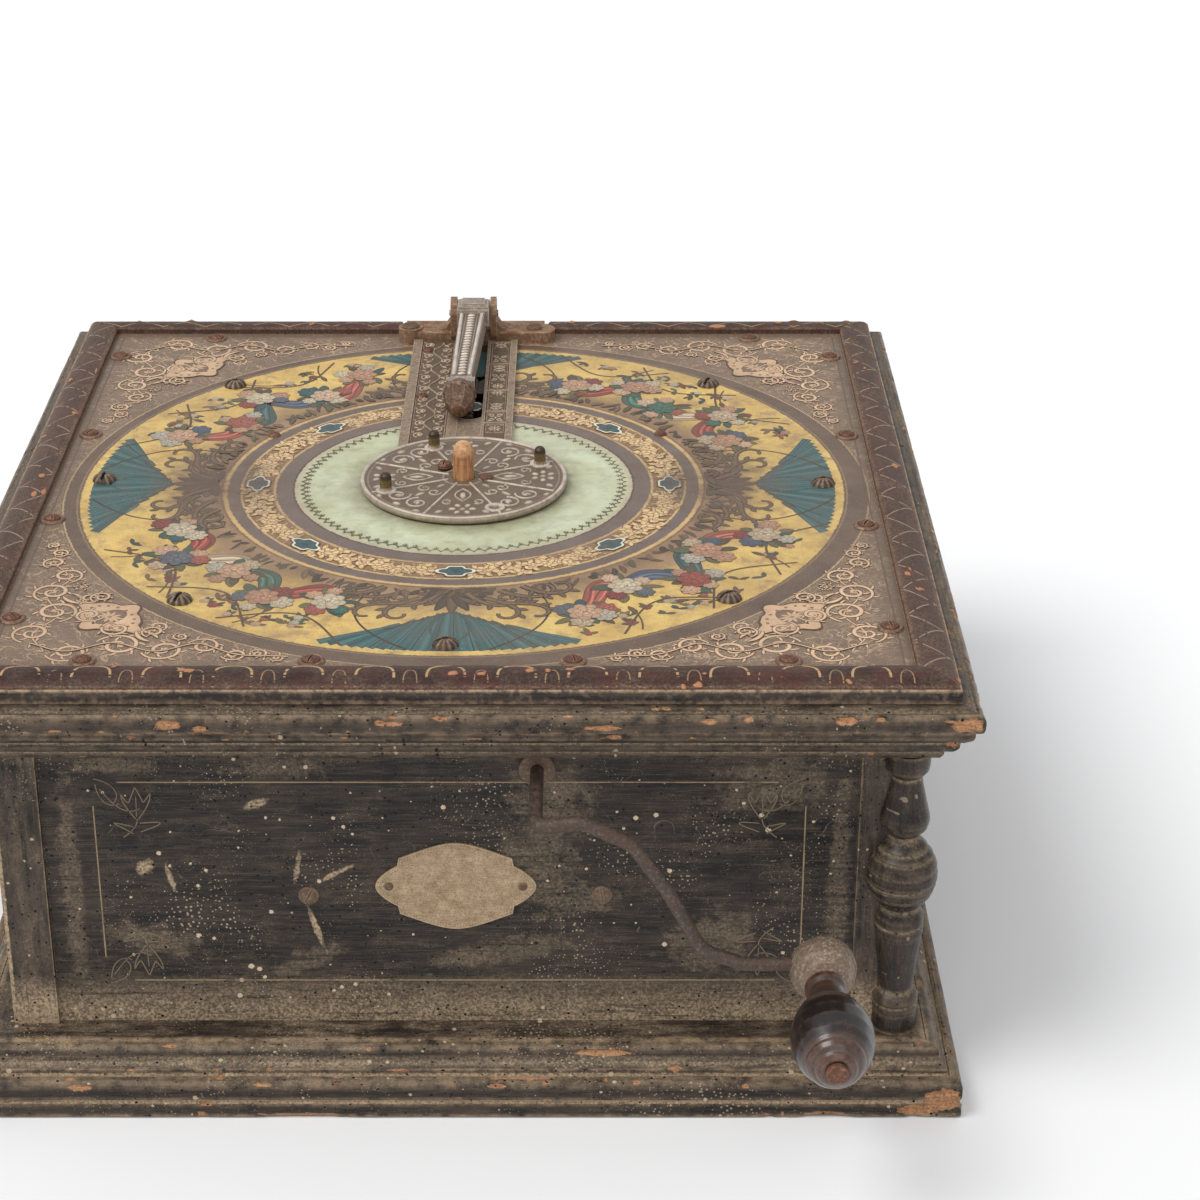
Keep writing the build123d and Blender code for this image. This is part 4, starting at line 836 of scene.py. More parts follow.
def build_print():
    rnd = random.Random(7)
    g = Ornament(lambda u, v, h: (u, v, TOP + h))

    def pol(R, a):
        return (R * math.cos(a), CY + R * math.sin(a))

    def arcpts(R, a0, a1, n):
        return [pol(R, a0 + (a1 - a0) * i / (n - 1)) for i in range(n)]

    # chain of small loops round the pale centre
    units = 96
    dark = lin(96, 92, 62)
    for i in range(units):
        a = 2 * PI * i / units
        if abs((a - PI / 2 + PI) % (2 * PI) - PI) < math.radians(17):
            continue
        st = 2 * PI / units
        pts = []
        for s in np.linspace(-1, 1, 11):
            pts.append(pol(71.7 - 2.2 * math.cos(s * PI / 2) ** 0.7, a + s * st * 0.52))
        g.ribbon(pts, 0.28, dark)
        for s in (-1, 0, 1):
            g.disc(*pol(68.6 - (0.9 if s == 0 else 0), a + s * st * 0.17), 0.42, 0.42, dark, seg=8)
        g.ribbon([pol(69.6, a), pol(67.9, a)], [0.45, 0.12], dark)
    # scrolls of the narrow ring, with small blue cartouches at every eighth
    for k in range(8):
        g.n = 0
        a0 = k * PI / 4
        for half in (-1, 1):
            for q in range(3):
                ac = a0 + half * math.radians(6.9 + q * 6.1)
                Rm = 90.4
                up = 1 if (q + (half > 0)) % 2 else -1
                sp = []
                for s in np.linspace(0, 1, 26):
                    rr = 5.6 * (1 - s) ** 0.9 + 0.4
                    th = half * up * (s * 2 * PI * 1.25) + (PI / 2 if up > 0 else -PI / 2)
                    sp.append((Rm + up * 0.9 + rr * math.sin(th) * 0.86, ac * 0 + rr * math.cos(th) / Rm * half))
                line = [pol(R, ac + d) for R, d in sp]
                wv = 1.25 * (1 - np.linspace(0, 1, 26)) ** 0.5 + 0.45
                g.ribbon(line, wv + 0.32, lin(104, 78, 54))
                g.ribbon(line, wv, lin(238, 212, 164), lin(214, 170, 110))
                g.disc(*line[-1], 1.15, 1.15, lin(240, 216, 172), seg=10)
                for j in (2, 5, 8, 11, 14, 17):
                    p = line[j]
                    d = math.atan2(line[j + 1][1] - line[j - 1][1], line[j + 1][0] - line[j - 1][0])
                    g.leaf(p, d + half * up * 1.15, 4.2, 1.15, lin(242, 212, 160), lin(206, 166, 112), bend=half * up * 0.6, out=lin(98, 74, 52), ow=0.28, n=7)
                    g.leaf(p, d - half * up * 1.0, 2.6, 0.8, lin(232, 192, 150), lin(196, 152, 112), bend=-half * up * 0.6, out=lin(98, 74, 52), ow=0.2, n=6)
                # filler dots near the two edges
                for rr, dd in ((85.1, 0.02), (95.6, -0.02), (85.2, -0.035), (95.4, 0.036)):
                    g.disc(*pol(rr, ac + dd), 0.75, 0.75, lin(226, 190, 132), seg=8, edge=lin(170, 130, 86))
        out = []
        for s in np.linspace(0, 2 * PI, 49)[:-1]:
            q = 1 + 0.13 * math.cos(4 * s) - 0.05 * math.cos(8 * s) + 0.05 * math.cos(6 * s)
            out.append((5.4 * q * math.sin(s), 7.2 * q * math.cos(s)))
        for scale, c, e in ((1.16, lin(90, 72, 54), None), (1.04, lin(240, 232, 206), None), (0.86, lin(62, 104, 108), lin(44, 78, 84))):
            g.poly([pol(90.4 + u * scale * 0.86, a0 + v * scale / 90.4) for u, v in out], c, e)
        for q in range(5):
            g.leaf(pol(90.4, a0), a0 + q * 2 * PI / 5, 2.9, 0.75, lin(36, 62, 68), lin(48, 84, 90), n=6)
        for s in (-1, 1):
            g.leaf(pol(90.4, a0 + s * 8.2 / 90.4), a0 + s * PI / 2, 3.4, 1.1, lin(240, 216, 172), lin(210, 168, 110), out=lin(112, 84, 58), ow=0.25, n=7)

    # ---- picture ring: blue hangings at the quarters, bouquets and ribbons between
    INK = lin(84, 62, 48)

    def rose(cx, cy, s, c1, c2, rot=0.0):
        """A full blown rose from overlapping petals, darker towards their edges."""
        dk = tuple(v * 0.5 for v in c2)
        for ring, (rr, pr, n) in enumerate(((0.66, 0.46, 7), (0.40, 0.36, 6), (0.18, 0.27, 4))):
            for i in range(n):
                th = rot + ring * 0.5 + 2 * PI * i / n
                px, py = cx + s * rr * math.cos(th), cy + s * rr * math.sin(th)
                mixc = tuple(c1[q] * (0.72 + 0.18 * ring + 0.10 * math.sin(th + 0.8)) for q in range(3))
                g.disc(px, py, s * pr * 1.06, s * pr * 0.9, dk, rot=th, seg=12)
                g.disc(px, py, s * pr * 0.96, s * pr * 0.80, mixc, rot=th, edge=c2, seg=12)
        pts = spiral_pts(cx, cy, s * 0.20, s * 0.03, rot, 1.4)
        g.ribbon(pts, s * 0.035, dk)

    def spiral_pts(cx, cy, r0, r1, a0, turns, n=18):
        t = np.linspace(0, 1, n)
        r = r0 + (r1 - r0) * t
        return np.stack([cx + r * np.cos(a0 + 2 * PI * turns * t), cy + r * np.sin(a0 + 2 * PI * turns * t)], 1)

    def leafy(cx, cy, ang, L, w, c, bend=0.0):
        dk = tuple(v * 0.45 for v in c)
        g.leaf((cx, cy), ang, L, w, c, tuple(v * 0.62 for v in c), bend=bend, out=INK, ow=0.22, n=10)
        t = np.linspace(0, 0.86, 8)
        th = ang + bend * t
        x = cx + np.concatenate([[0], np.cumsum(np.cos(th[:-1]) * L * 0.86 / 7)])
        y = cy + np.concatenate([[0], np.cumsum(np.sin(th[:-1]) * L * 0.86 / 7)])
        g.ribbon(np.stack([x, y], 1), 0.14, dk)

    def drape(pts, w, c, folds=4):
        """A swag of cloth with lengthwise folds."""
        pts = np.asarray(pts)
        m = len(pts)
        w = np.full(m, w, float) if np.isscalar(w) else np.asarray(w, float)
        d = np.gradient(pts, axis=0)
        L = np.hypot(d[:, 0], d[:, 1]) + 1e-9
        nrm = np.stack([-d[:, 1] / L, d[:, 0] / L], 1)
        g.ribbon(pts, w + 0.35, INK)
        g.ribbon(pts, w, c, tuple(v * 0.55 for v in c))
        for i in range(folds):
            f = -0.75 + 1.5 * (i + 0.5) / folds
            ph = rnd.random() * 6
            off = (f + 0.12 * np.sin(np.linspace(0, 9, m) + ph))[:, None] * w[:, None]
            g.ribbon(pts + nrm * off, w * 0.10, tuple(v * (0.42 if i % 2 else 1.45) for v in c))

    # dark foliage that rises from the inner edge
    for i in range(210):
        a = 2 * PI * i / 210 + rnd.uniform(-0.01, 0.01)
        d = a + rnd.uniform(-0.9, 0.9)
        c = rnd.choice([lin(104, 86, 66), lin(84, 72, 58), lin(128, 106, 80), lin(96, 92, 72), lin(74, 64, 54)])
        g.leaf(pol(106.9 + 3 * rnd.random(), a), d, rnd.uniform(4, 10), rnd.uniform(0.8, 1.7), c, tuple(v * 0.6 for v in c), bend=rnd.uniform(-0.9, 0.9), n=8)
    BLUSH = [lin(222, 178, 144), lin(208, 158, 126), lin(232, 196, 164)]
    REDS = [lin(168, 84, 72), lin(186, 104, 88), lin(150, 76, 74)]
    COOL = [lin(66, 108, 110), lin(88, 104, 124), lin(74, 120, 104), lin(110, 116, 126)]
    PALE = [lin(228, 210, 178), lin(214, 190, 158), lin(206, 196, 176)]
    LEAF = [lin(74, 104, 84), lin(102, 108, 76), lin(62, 92, 90), lin(122, 116, 78), lin(92, 84, 62)]
    for q in range(4):
        g.n = 0
        a0 = q * PI / 2 + PI
        hw = math.radians(19.0)
        # hanging: one shape with many folds, gathered towards the middle
        n_ = 26
        for i in range(n_):
            f = -1 + 2 * (i + 0.5) / n_
            tone = 0.78 + 0.42 * math.sin(i * 1.9 + q) ** 2
            c = tuple(v * tone for v in lin(70, 112, 112))
            line = []
            for s in np.linspace(0, 1, 18):
                inner = 128.5 + 17.5 * abs(f) ** 1.25 + 1.2 * math.sin(i * 2.3)
                R = inner + (162.8 - inner) * s
                line.append(pol(R, a0 + f * hw * (0.52 + 0.48 * s ** 0.75)))
            g.ribbon(line, np.linspace(1.5, 2.25, 18), c, tuple(v * 0.62 for v in c), h=0.021 + 0.0012 * i)
            if i % 2:
                g.ribbon(line, np.linspace(0.12, 0.3, 18), lin(34, 58, 62), h=0.056)
        for s_ in (-1, 1):
            line = [pol(128.5 + 17.5 * u_ ** 1.25, a0 + s_ * u_ * hw * 0.55) for u_ in np.linspace(0, 1, 24)]
            g.ribbon(line, 0.55, lin(96, 72, 54), h=0.058)
            line, th = clothoid(pol(162, a0 + s_ * 0.10), a0 + PI - s_ * 0.9, 60, s_ * 0.004, s_ * 0.05, 1.0, 50)
            g.ribbon(line, np.linspace(0.55, 0.35, 50), lin(66, 54, 46), h=0.06)
            line, th = clothoid(pol(129, a0 + s_ * 0.02), a0 + s_ * 0.55, 34, -s_ * 0.01, -s_ * 0.12, 1.0, 40)
            g.ribbon(line, np.linspace(0.9, 0.4, 40), lin(58, 84, 84), h=0.062)
        # dark palmette under it
        for i in range(11):
            f = -1 + i / 5
            c = lin(112, 92, 72) if i % 2 else lin(84, 70, 58)
            g.leaf(pol(108.5, a0), a0 + f * 1.35, 21 - 7 * abs(f), 2.3, c, tuple(v * 0.6 for v in c), bend=f * 0.8, out=lin(58, 46, 38), ow=0.4, n=12)
        for s in (-1, 1):
            for (R_, off, h_, L_, k1) in ((111, 0.05, 0.5, 44, 0.34), (116, 0.11, 1.0, 34, -0.36), (110, 0.17, 0.9, 40, 0.30), (122, 0.17, 1.5, 30, -0.34), (108, 0.26, 0.8, 34, 0.32)):
                line, th = clothoid(pol(R_, a0 + s * off), a0 + s * h_, L_, s * 0.02, s * k1, 1.5, 50)
                g.ribbon(line, np.linspace(1.5, 0.5, 50) + 0.3, lin(58, 46, 38))
                g.ribbon(line, np.linspace(1.5, 0.5, 50), lin(130, 108, 84), lin(88, 70, 56))
                for j in (8, 16, 24, 31):
                    g.leaf(line[j], th[j] - s * (1.0 if k1 > 0 else -1.0), 5.2, 1.1, lin(118, 98, 76), lin(80, 64, 52), bend=-s * 0.5, out=lin(58, 46, 38), ow=0.2, n=8)
    for q in range(4):
        a0 = q * PI / 2 + PI
        # swags of cloth that run from bouquet to bouquet
        for i in range(4):
            g.n = 0
            f0 = math.radians(23 + 11.2 * i)
            f1 = f0 + math.radians(11.2)
            R0, R1 = 122 + 15 * ((i + q) % 2), 122 + 15 * ((i + q + 1) % 2)
            line = [pol(R0 + (R1 - R0) * s - 6.5 * math.sin(PI * s) + 1.6 * math.sin(7 * s), a0 + f0 + (f1 - f0) * s) for s in np.linspace(0, 1, 40)]
            c = (REDS[0], COOL[0], PALE[1], REDS[1], COOL[2], COOL[1])[(i * 2 + q * 3) % 6]
            drape(line, 3.0 + 1.9 * np.sin(PI * np.linspace(0, 1, 40)), c)
        for i in range(5):
            g.n = 60
            a = a0 + math.radians(22.5 + 11.2 * i)
            R = 127 + 13 * ((i + q) % 2) + rnd.uniform(-2, 2)
            cx, cy = pol(R, a)
            for j in range(11):
                th = 2 * PI * j / 11 + rnd.uniform(-0.2, 0.2)
                d_ = rnd.uniform(4, 8)
                leafy(cx + d_ * 0.8 * math.cos(th), cy + d_ * 0.8 * math.sin(th), th + rnd.uniform(-0.5, 0.5), rnd.uniform(6.5, 10.5), rnd.uniform(1.6, 2.5), rnd.choice(LEAF), rnd.uniform(-0.6, 0.6))
            spots = [(0, 0, 6.6)] + [(rnd.uniform(8.0, 10.5) * math.cos(b_), rnd.uniform(8.0, 10.5) * math.sin(b_), rnd.uniform(3.0, 5.0)) for b_ in (rnd.random() + 0.4, rnd.random() + 2.2, rnd.random() + 3.9, rnd.random() + 5.2)]
            for n2, (ux, uy, sz) in enumerate(spots[1:] + spots[:1]):
                fam = (BLUSH, PALE, REDS, BLUSH, COOL, BLUSH, PALE)[(i * 3 + q * 2 + n2 * 2) % 7]
                c1 = rnd.choice(fam)
                px, py = cx + ux, cy + uy
                rr = math.hypot(px, py - CY)
                if rr > 157.5 or rr < 110:
                    continue
                rose(px, py, sz, tuple(min(1.0, v * 1.12) for v in c1), tuple(v * 0.66 for v in c1), rnd.random() * 6)
        # small sprays and buds on the open ground
        for i in range(26):
            a = a0 + math.radians(20 + 50 * rnd.random())
            R = rnd.uniform(146, 159)
            g.n = 20
            c = rnd.choice(LEAF + [lin(150, 118, 84), lin(132, 100, 72)])
            x_, y_ = pol(R, a)
            for k_ in range(3):
                leafy(x_, y_, a + PI * 0.5 + k_ * 1.1 + rnd.uniform(-0.6, 0.6), rnd.uniform(3.2, 5.6), 0.85, c, 0.4)
            if i % 2:
                c1 = rnd.choice(BLUSH + REDS + PALE)
                rose(x_, y_, rnd.uniform(1.5, 2.4), c1, tuple(v * 0.66 for v in c1), rnd.random() * 6)
        # long thin bands that cross the field, with tassels near the rim
        for i in range(3):
            a = a0 + math.radians(25 + 15 * i)
            line = [pol(163 - 19 * math.sin(PI * s) ** 1.0, a + math.radians(20) * s) for s in np.linspace(0, 1, 60)]
            g.ribbon(line, 0.5, lin(92, 70, 54))
            line, th = clothoid(pol(162.6, a + 0.05), a + PI + 0.5 * (1 if i % 2 else -1), 15, 0.02, 0.05, 1, 20)
            g.ribbon(line, 0.38, lin(92, 70, 54))
            g.leaf(line[-1], th[-1], 7.0, 1.3, lin(112, 88, 66), lin(72, 54, 42), n=8)

    # ---- corner ornament: shield with scrolls running along both borders
    for sx in (-1, 1):
        for sy in (-1, 1):
            far = 171.1 if sy < 0 else 178.9
            g.n = 0

            def T(u, v, sx=sx, sy=sy):      # u, v run in from the corner along x and y
                return (sx * (171.5 - u), sy * (175.0 - v))

            def reach(u, swap, far=far):    # free width between the border and the ring
                if not swap:
                    k = 177.3 ** 2 - (171.5 - u) ** 2
                    return far - math.sqrt(max(k, 0.0))
                k = 177.3 ** 2 - (far - u) ** 2
                return 171.5 - math.sqrt(max(k, 0.0))

            def draw(pts, w, swap, lo=lin(80, 64, 52)):
                L = [T(b, a) if swap else T(a, b) for a, b in pts]
                w = np.full(len(L), w, float) if np.isscalar(w) else np.asarray(w, float)
                g.ribbon(L, w + 0.28, lo)
                g.ribbon(L, w, lin(238, 204, 168), lin(208, 168, 130))

            def hook(p, ang, L_, w_, bend, swap):
                th = ang + bend * np.linspace(0, 1, 9)
                u = p[0] + np.concatenate([[0], np.cumsum(np.cos(th[:-1]) * L_ / 8)])
                v = p[1] + np.concatenate([[0], np.cumsum(np.sin(th[:-1]) * L_ / 8)])
                draw(list(zip(u, v)), w_ * np.sin(PI * np.linspace(0.06, 0.97, 9)) ** 0.7, swap)

            def curl(cx, cy, r, a_in, sgn, swap, wmax=1.0):
                """Acanthus spiral: a thick arc closing in on itself with leaves along its back."""
                n = 44
                t = np.linspace(0, 1, n)
                rad = r * (1 - 0.86 * t ** 0.9)
                ang = a_in + sgn * 2 * PI * 1.55 * t
                pts = np.stack([cx + rad * np.cos(ang), cy + rad * np.sin(ang)], 1)
                w = wmax * (0.30 + 0.70 * np.sin(PI * np.clip(t * 0.9 + 0.1, 0, 1)))
                for j in range(3, 34, 4):
                    th = ang[j] + sgn * PI / 2
                    hook(pts[j], th - sgn * 1.05, r * 0.50, wmax * 0.62, sgn * 0.8, swap)
                for j in range(5, 26, 6):
                    th = ang[j] + sgn * PI / 2
                    hook(pts[j], th + sgn * 0.9, r * 0.26, wmax * 0.45, sgn * 0.8, swap)
                draw(pts, w, swap)
                q = pts[-1]
                q = T(q[1], q[0]) if swap else T(q[0], q[1])
                g.disc(q[0], q[1], wmax * 1.25, wmax * 1.25, lin(240, 208, 172), seg=10, edge=lin(196, 156, 120))

            for swap in (False, True):
                u = 30.0
                k = 0
                pts_prev = None
                # outer row shrinks as the field narrows
                for (u, r) in ((24, 8.5), (43, 9.5), (61, 8.6), (76.5, 6.9), (89, 5.2), (98.5, 3.9), (106, 2.9)):
                    wdt = reach(u, swap)
                    v = min(wdt * 0.5, 11.5 if u > 30 else 9.5) + (1.0 if k % 2 else -1.0) * min(2.0, wdt * 0.12)
                    r = min(r, max(1.6, wdt * 0.46))
                    curl(u, v, r, PI * (0.9 if k % 2 else -0.9), -1 if k % 2 else 1, swap, 0.36 + 0.055 * r)
                    k += 1
                # second row between the first and the shield
                for (u, v, r, s_) in ((40, 27.5, 6.6, 1), (55, 25.0, 5.0, -1), (66.5, 20.5, 3.4, 1), (30, 56, 5.0, -1)):
                    if v + r < reach(u, swap) - 1.0:
                        curl(u, v, r, PI * 0.6 * s_, s_, swap, 0.34 + 0.05 * r)
                # stem that ties them together
                U = np.linspace(8, 110, 160)
                vv = [min(reach(q, swap) * 0.5, 11.5) + 3.6 * min(1, reach(q, swap) / 26) * math.sin(q / 17.5 * PI + 0.6) for q in U]
                draw(list(zip(U, vv)), 0.34, swap)
                for q in range(0, 160, 9):
                    hook((U[q], vv[q]), (1 if q % 2 else -1) * 1.1, 3.4, 0.5, (1 if q % 2 else -1) * 0.9, swap)
            # shield on the diagonal: four lobes with a dark flower
            g.n = 200
            cs, sn = math.cos(-PI / 4), math.sin(-PI / 4)
            cc = (23.0, 26.0)
            out = []
            for s in np.linspace(0, 2 * PI, 97)[:-1]:
                q = 1 + 0.15 * math.cos(4 * s) + 0.10 * math.cos(8 * s) + 0.04 * math.cos(12 * s)
                out.append((15.5 * q * math.cos(s), 10.5 * q * math.sin(s)))
            cc = (36.0, 38.0)
            for sc, c, e in ((1.13, lin(80, 64, 52), None), (1.05, lin(234, 200, 164), lin(214, 176, 138))):
                g.poly([T(cc[0] + (x * cs - y * sn) * sc, cc[1] + (x * sn + y * cs) * sc) for x, y in out], c, e)
            g.disc(*T(cc[0], cc[1]), 7.6, 5.4, lin(150, 124, 102), rot=(PI / 4 if sx * sy > 0 else -PI / 4), seg=26, edge=lin(118, 96, 80))
            for s in range(10):
                th = s * PI / 5
                x, y = 6.2 * math.cos(th), 4.4 * math.sin(th)
                pts = [(cc[0] + (x * f) * cs - (y * f) * sn, cc[1] + (x * f) * sn + (y * f) * cs) for f in np.linspace(0.15, 1.0, 8)]
                g.ribbon([T(*p) for p in pts], 0.75 * np.sin(PI * np.linspace(0.1, 0.95, 8)), lin(224, 188, 152), lin(198, 160, 124))
            for s in np.linspace(0, 2 * PI, 17)[:-1]:
                x, y = 12.0 * math.cos(s), 8.0 * math.sin(s)
                p = (cc[0] + x * cs - y * sn, cc[1] + x * sn + y * cs)
                g.disc(*T(*p), 0.8, 0.8, lin(140, 110, 86), seg=8)
            for s_ in (-1, 1):
                for (d_, L_) in ((17.5, 12), (-17.5, 12)):
                    p = (cc[0] + d_ * cs, cc[1] + d_ * sn)
                    hook(p, -PI / 4 + (0 if d_ > 0 else PI) + s_ * 0.7, L_, 0.9, -s_ * 1.2, False)
    g.make('top_print', M_INK)


build_print()
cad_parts['top_board'].data.materials.clear()
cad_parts['top_board'].data.materials.append(M_PRINT)


# ------------------------------------------------------------------ the case: worn black wood
def z_stain(t, x, y, z):
    """Dust settled above the ledge and below the cornice."""
    return t.m('MAXIMUM', t.rng(z, 52, 28, 0.0, 0.75), t.rng(z, 148, 158, 0.0, 0.35))


def blob(t, x, z, cx, cz, rx, rz, tilt=0.0):
    """A soft handling mark at one place of the front."""
    c, q = math.cos(tilt), math.sin(tilt)
    u = ((x - cx) * c + (z - cz) * q) * (1.0 / rx)
    v = ((z - cz) * c - (x - cx) * q) * (1.0 / rz)
    return t.rng(t.m('SQRT', u * u + v * v) + t.rng(t.noise(0.15, 5, 0.7), 0.3, 0.7, -0.5, 0.5), 1.0, 0.55)


def z_front(t, x, y, z):
    f = z_stain(t, x, y, z)
    for b in ((-121.6, 100.5, 3.4, 4.2, 0.0), (-112, 97, 1.2, 6.5, 0.25), (-61, 101, 1.3, 8, -0.15), (-55, 74, 1.4, 14, 0.3), (-46, 98, 9, 1.3, 0.5),
              (-102, 44, 32, 5.5, 0.03), (-60, 56, 22, 6, 0.5), (-120, 68, 22, 9, -0.2), (-132, 148, 20, 5, 0.0), (36, 100, 16, 26, 0.2), (52, 86, 20, 9, 0.1),
              (-76, 130, 6, 2.0, 0.4), (40, 132, 18, 22, 0.0), (128, 140, 26, 14, 0.2), (104, 66, 22, 16, 0.3), (20, 62, 36, 7, 0.15), (-66, 146, 26, 5, 0.0), (-151, 90, 5, 60, 0.0), (154, 90, 5, 60, 0.0)):
        f = t.m('MAXIMUM', f, blob(t, x, z, *b) * (0.85 if b[2] * b[3] < 30 else 0.20))
    return f


def z_post(t, x, y, z):
    ax = t.m('ABSOLUTE', x)
    return t.m('MAXIMUM', z_stain(t, x, y, z), t.rng(t.m('ABSOLUTE', ax - 178.4), 1.0, 0.3) * 0.7)


M_EB_M = ebony('black_wood_moulded', 'M', attrs=True, dust=0.50, wear=0.80, holes=1.0, black=0.85, specks=0.7, gloss=0.30)
M_EB_P = ebony('black_wood_plinth', 'M', attrs=True, dust=0.74, wear=0.90, holes=1.0, black=0.62, specks=0.8, gloss=0.34)
M_EB_F = ebony('black_wood_panel_x', 'X', dust=0.80, wear=0.4, holes=1.0, black=0.72, specks=1.0, zdust=z_front, smear=1.0, gloss=0.4)
M_EB_S = ebony('black_wood_panel_y', 'Y', dust=0.8, wear=0.4, holes=1.0, black=0.7, specks=0.9, zdust=z_stain, smear=0.8)
M_EB_V = ebony('black_wood_posts', 'Z', dust=1.35, wear=0.8, holes=1.0, black=0.0, specks=0.7, zdust=z_post)
M_EB_C = ebony('brown_wood_columns', 'Z', attrs=True, dust=0.42, wear=0.55, holes=0.7, black=0.6, specks=0.35, gloss=0.28)


def mat_strip():
    """Dark red-brown paint with thin gold lines drawn over it."""
    t = Tree('striped_edge')
    x, y, z = t.sep(t.pos())
    ax = t.m('ABSOLUTE', x)
    ay = t.m('ABSOLUTE', y) - DEEP
    streak = t.noise(0.5, 5, 0.6, t.stretch(0.12, 0.12, 1.0))
    mid = t.noise(0.12, 5, 0.65)
    small = t.noise(1.0, 4, 0.7)
    col = t.mix(t.rng(streak, 0.35, 0.7), lin(38, 21, 20), lin(80, 41, 35))
    col = t.mix(t.rng(mid, 0.44, 0.60) * 0.8, col, lin(27, 18, 17))
    col = t.mix(t.rng(small, 0.55, 0.8) * 0.5, col, lin(134, 98, 78))
    nx, ny, nz = t.sep(t.normal())
    film = t.rng(nz, 0.1, 0.9) * t.rng(t.noise(0.06, 5, 0.65), 0.38, 0.68) * 0.42
    film = film + t.attr('ccv') * 0.7
    # the left and right lengths get extra pale film on top of the real dust: painted light that makes the side strips
    # paler than the front
    side = t.m('GREATER_THAN', ax, ay)
    film = film + side * 0.2
    col = t.mix(film * t.rng(small, 0.35, 0.6, 0.15, 0.85) * t.rng(t.m('ADD', side * 0.5, t.rng(mid, 0.4, 0.6)), 0.0, 1.0, 0.45, 1.0), col, lin(138, 112, 92))
    edge = t.attr('cvx')
    col = t.mix(edge * t.rng(mid, 0.36, 0.6) * 0.6, col, lin(150, 112, 86))
    bare = t.m('MAXIMUM', t.rng(t.attr('chip'), 0.25, 0.6), t.rng(edge, 0.3, 0.7) * t.rng(t.noise(0.2, 6, 0.7, t.stretch(1, 1, 1, (9, 3, 2))), 0.6, 0.66))
    col = t.mix(bare, col, lin(178, 124, 86))
    rough = t.mixf(film, 0.34, 0.85)
    return t.done(col, t.m('ADD', rough, t.rng(small, 0.3, 0.8, -0.05, 0.12)), 0.0, t.bump(streak * 0.4 + small * 0.3 - bare * 0.7, 0.4, 0.25), spec=0.3, coat=0.08)


M_STRIP = mat_strip()


def mat_gilt(name, base, wear_lo=0.42, wear_hi=0.6, under=(70, 58, 50)):
    t = Tree(name)
    n = t.noise(0.5, 5, 0.7)
    n2 = t.noise(0.12, 4, 0.6, t.stretch(1, 1, 1, (3, 8, 2)))
    fine = t.noise(2.0, 4, 0.7)
    w = t.m('MAXIMUM', t.rng(n, wear_lo + 0.12, wear_hi + 0.1), t.rng(n2, wear_lo + 0.1, wear_hi + 0.12) * 0.9)
    col = t.mix(w, t.attr('Col', True), lin(*under))
    col = t.mix(t.rng(fine, 0.5, 0.75) * 0.4, col, lin(*under))
    return t.done(col, 0.6, 0.0, t.bump(fine, 0.2, 0.1), spec=0.35)


M_GILT = mat_gilt('gold_lines', None, 0.46, 0.62, (74, 60, 52))
M_GILT_S = mat_gilt('gold_lines_edge', None, 0.50, 0.66, (92, 62, 52))

PLINTH = [(191.2, 0), (204.3, 0), (205.0, 0.7), (205.1, 6.7), (204.4, 7.3), (204.4, 8.0), (205.1, 8.6), (205.1, 14.4),
          (204.6, 15.9), (203.4, 17.0), (201.6, 17.5), (200.4, 17.2), (199.9, 16.5), (199.5, 17.4), (199.3, 19.3),
          (198.2, 20.0), (196.9, 21.2), (196.1, 23.0), (195.8, 25.0), (195.4, 26.6), (194.3, 27.7), (192.8, 28.2), (191.2, 28.2)]
LEDGE = [(165.0, 10.0), (191.1, 10.0), (191.1, 27.9), (190.5, 28.2), (165.0, 28.2)]
BED = [(179.3, 156.0), (186.7, 156.0), (187.6, 156.3), (189.6, 157.4), (190.9, 159.3), (191.1, 160.9), (191.9, 161.3),
       (193.9, 162.4), (195.3, 163.8), (196.1, 165.4), (196.4, 167.7), (197.4, 168.1), (199.2, 169.6), (200.6, 170.9),
       (201.1, 172.2), (201.2, 174.75), (179.3, 174.75)]
CROWN = [(179.3, 174.8), (202.6, 174.8), (203.7, 175.6), (204.3, 177.4), (204.5, 179.4), (204.3, 181.2), (203.6, 182.5),
         (202.6, 183.2), (201.0, 183.2), (200.0, 183.6), (198.8, 184.15), (179.3, 184.15)]
STRIP = [(180.4, 190.0), (180.4, 192.4), (181.0, 192.9), (182.4, 193.3), (184.6, 193.6), (187.4, 193.5), (190.0, 193.0),
         (192.2, 192.2), (193.9, 191.3), (195.0, 190.4), (195.0, 190.0)]

moulding('plinth_lengths', PLINTH, M_EB_P, ['plinth_moulding'], seed=3, n_chips=46, dent=0.22,
         chips=[('front', 199, (205.1, 9), 11, 6.5, 1.1), ('front', 188, (205.1, 3), 9, 3.5, 1.2), ('front', 150, (205.1, 1), 12, 2.4, 1.0),
                ('front', -196, (201.6, 17.5), 9, 3.0, 0.8), ('front', -150, (205.1, 14.4), 7, 2.0, 0.8), ('front', -60, (205.1, 0.7), 20, 1.8, 0.7),
                ('front', 60, (195.8, 25), 14, 1.8, 0.5), ('right', -200, (205.1, 8), 9, 6, 1.0), ('front', 30, (201.6, 17.5), 16, 1.3, 0.5)])
moulding('plinth_step', LEDGE, M_EB_P, ['plinth_ledge'], seed=5, n_chips=18, step=2.2, dent=0.12)
moulding('cornice_lower', BED, M_EB_M, ['bed_moulding'], seed=8, n_chips=26, dent=0.16,
         chips=[('front', 196, (196.4, 167.7), 7, 3, 0.9), ('front', -90, (201.2, 174.7), 12, 1.5, 0.7)])
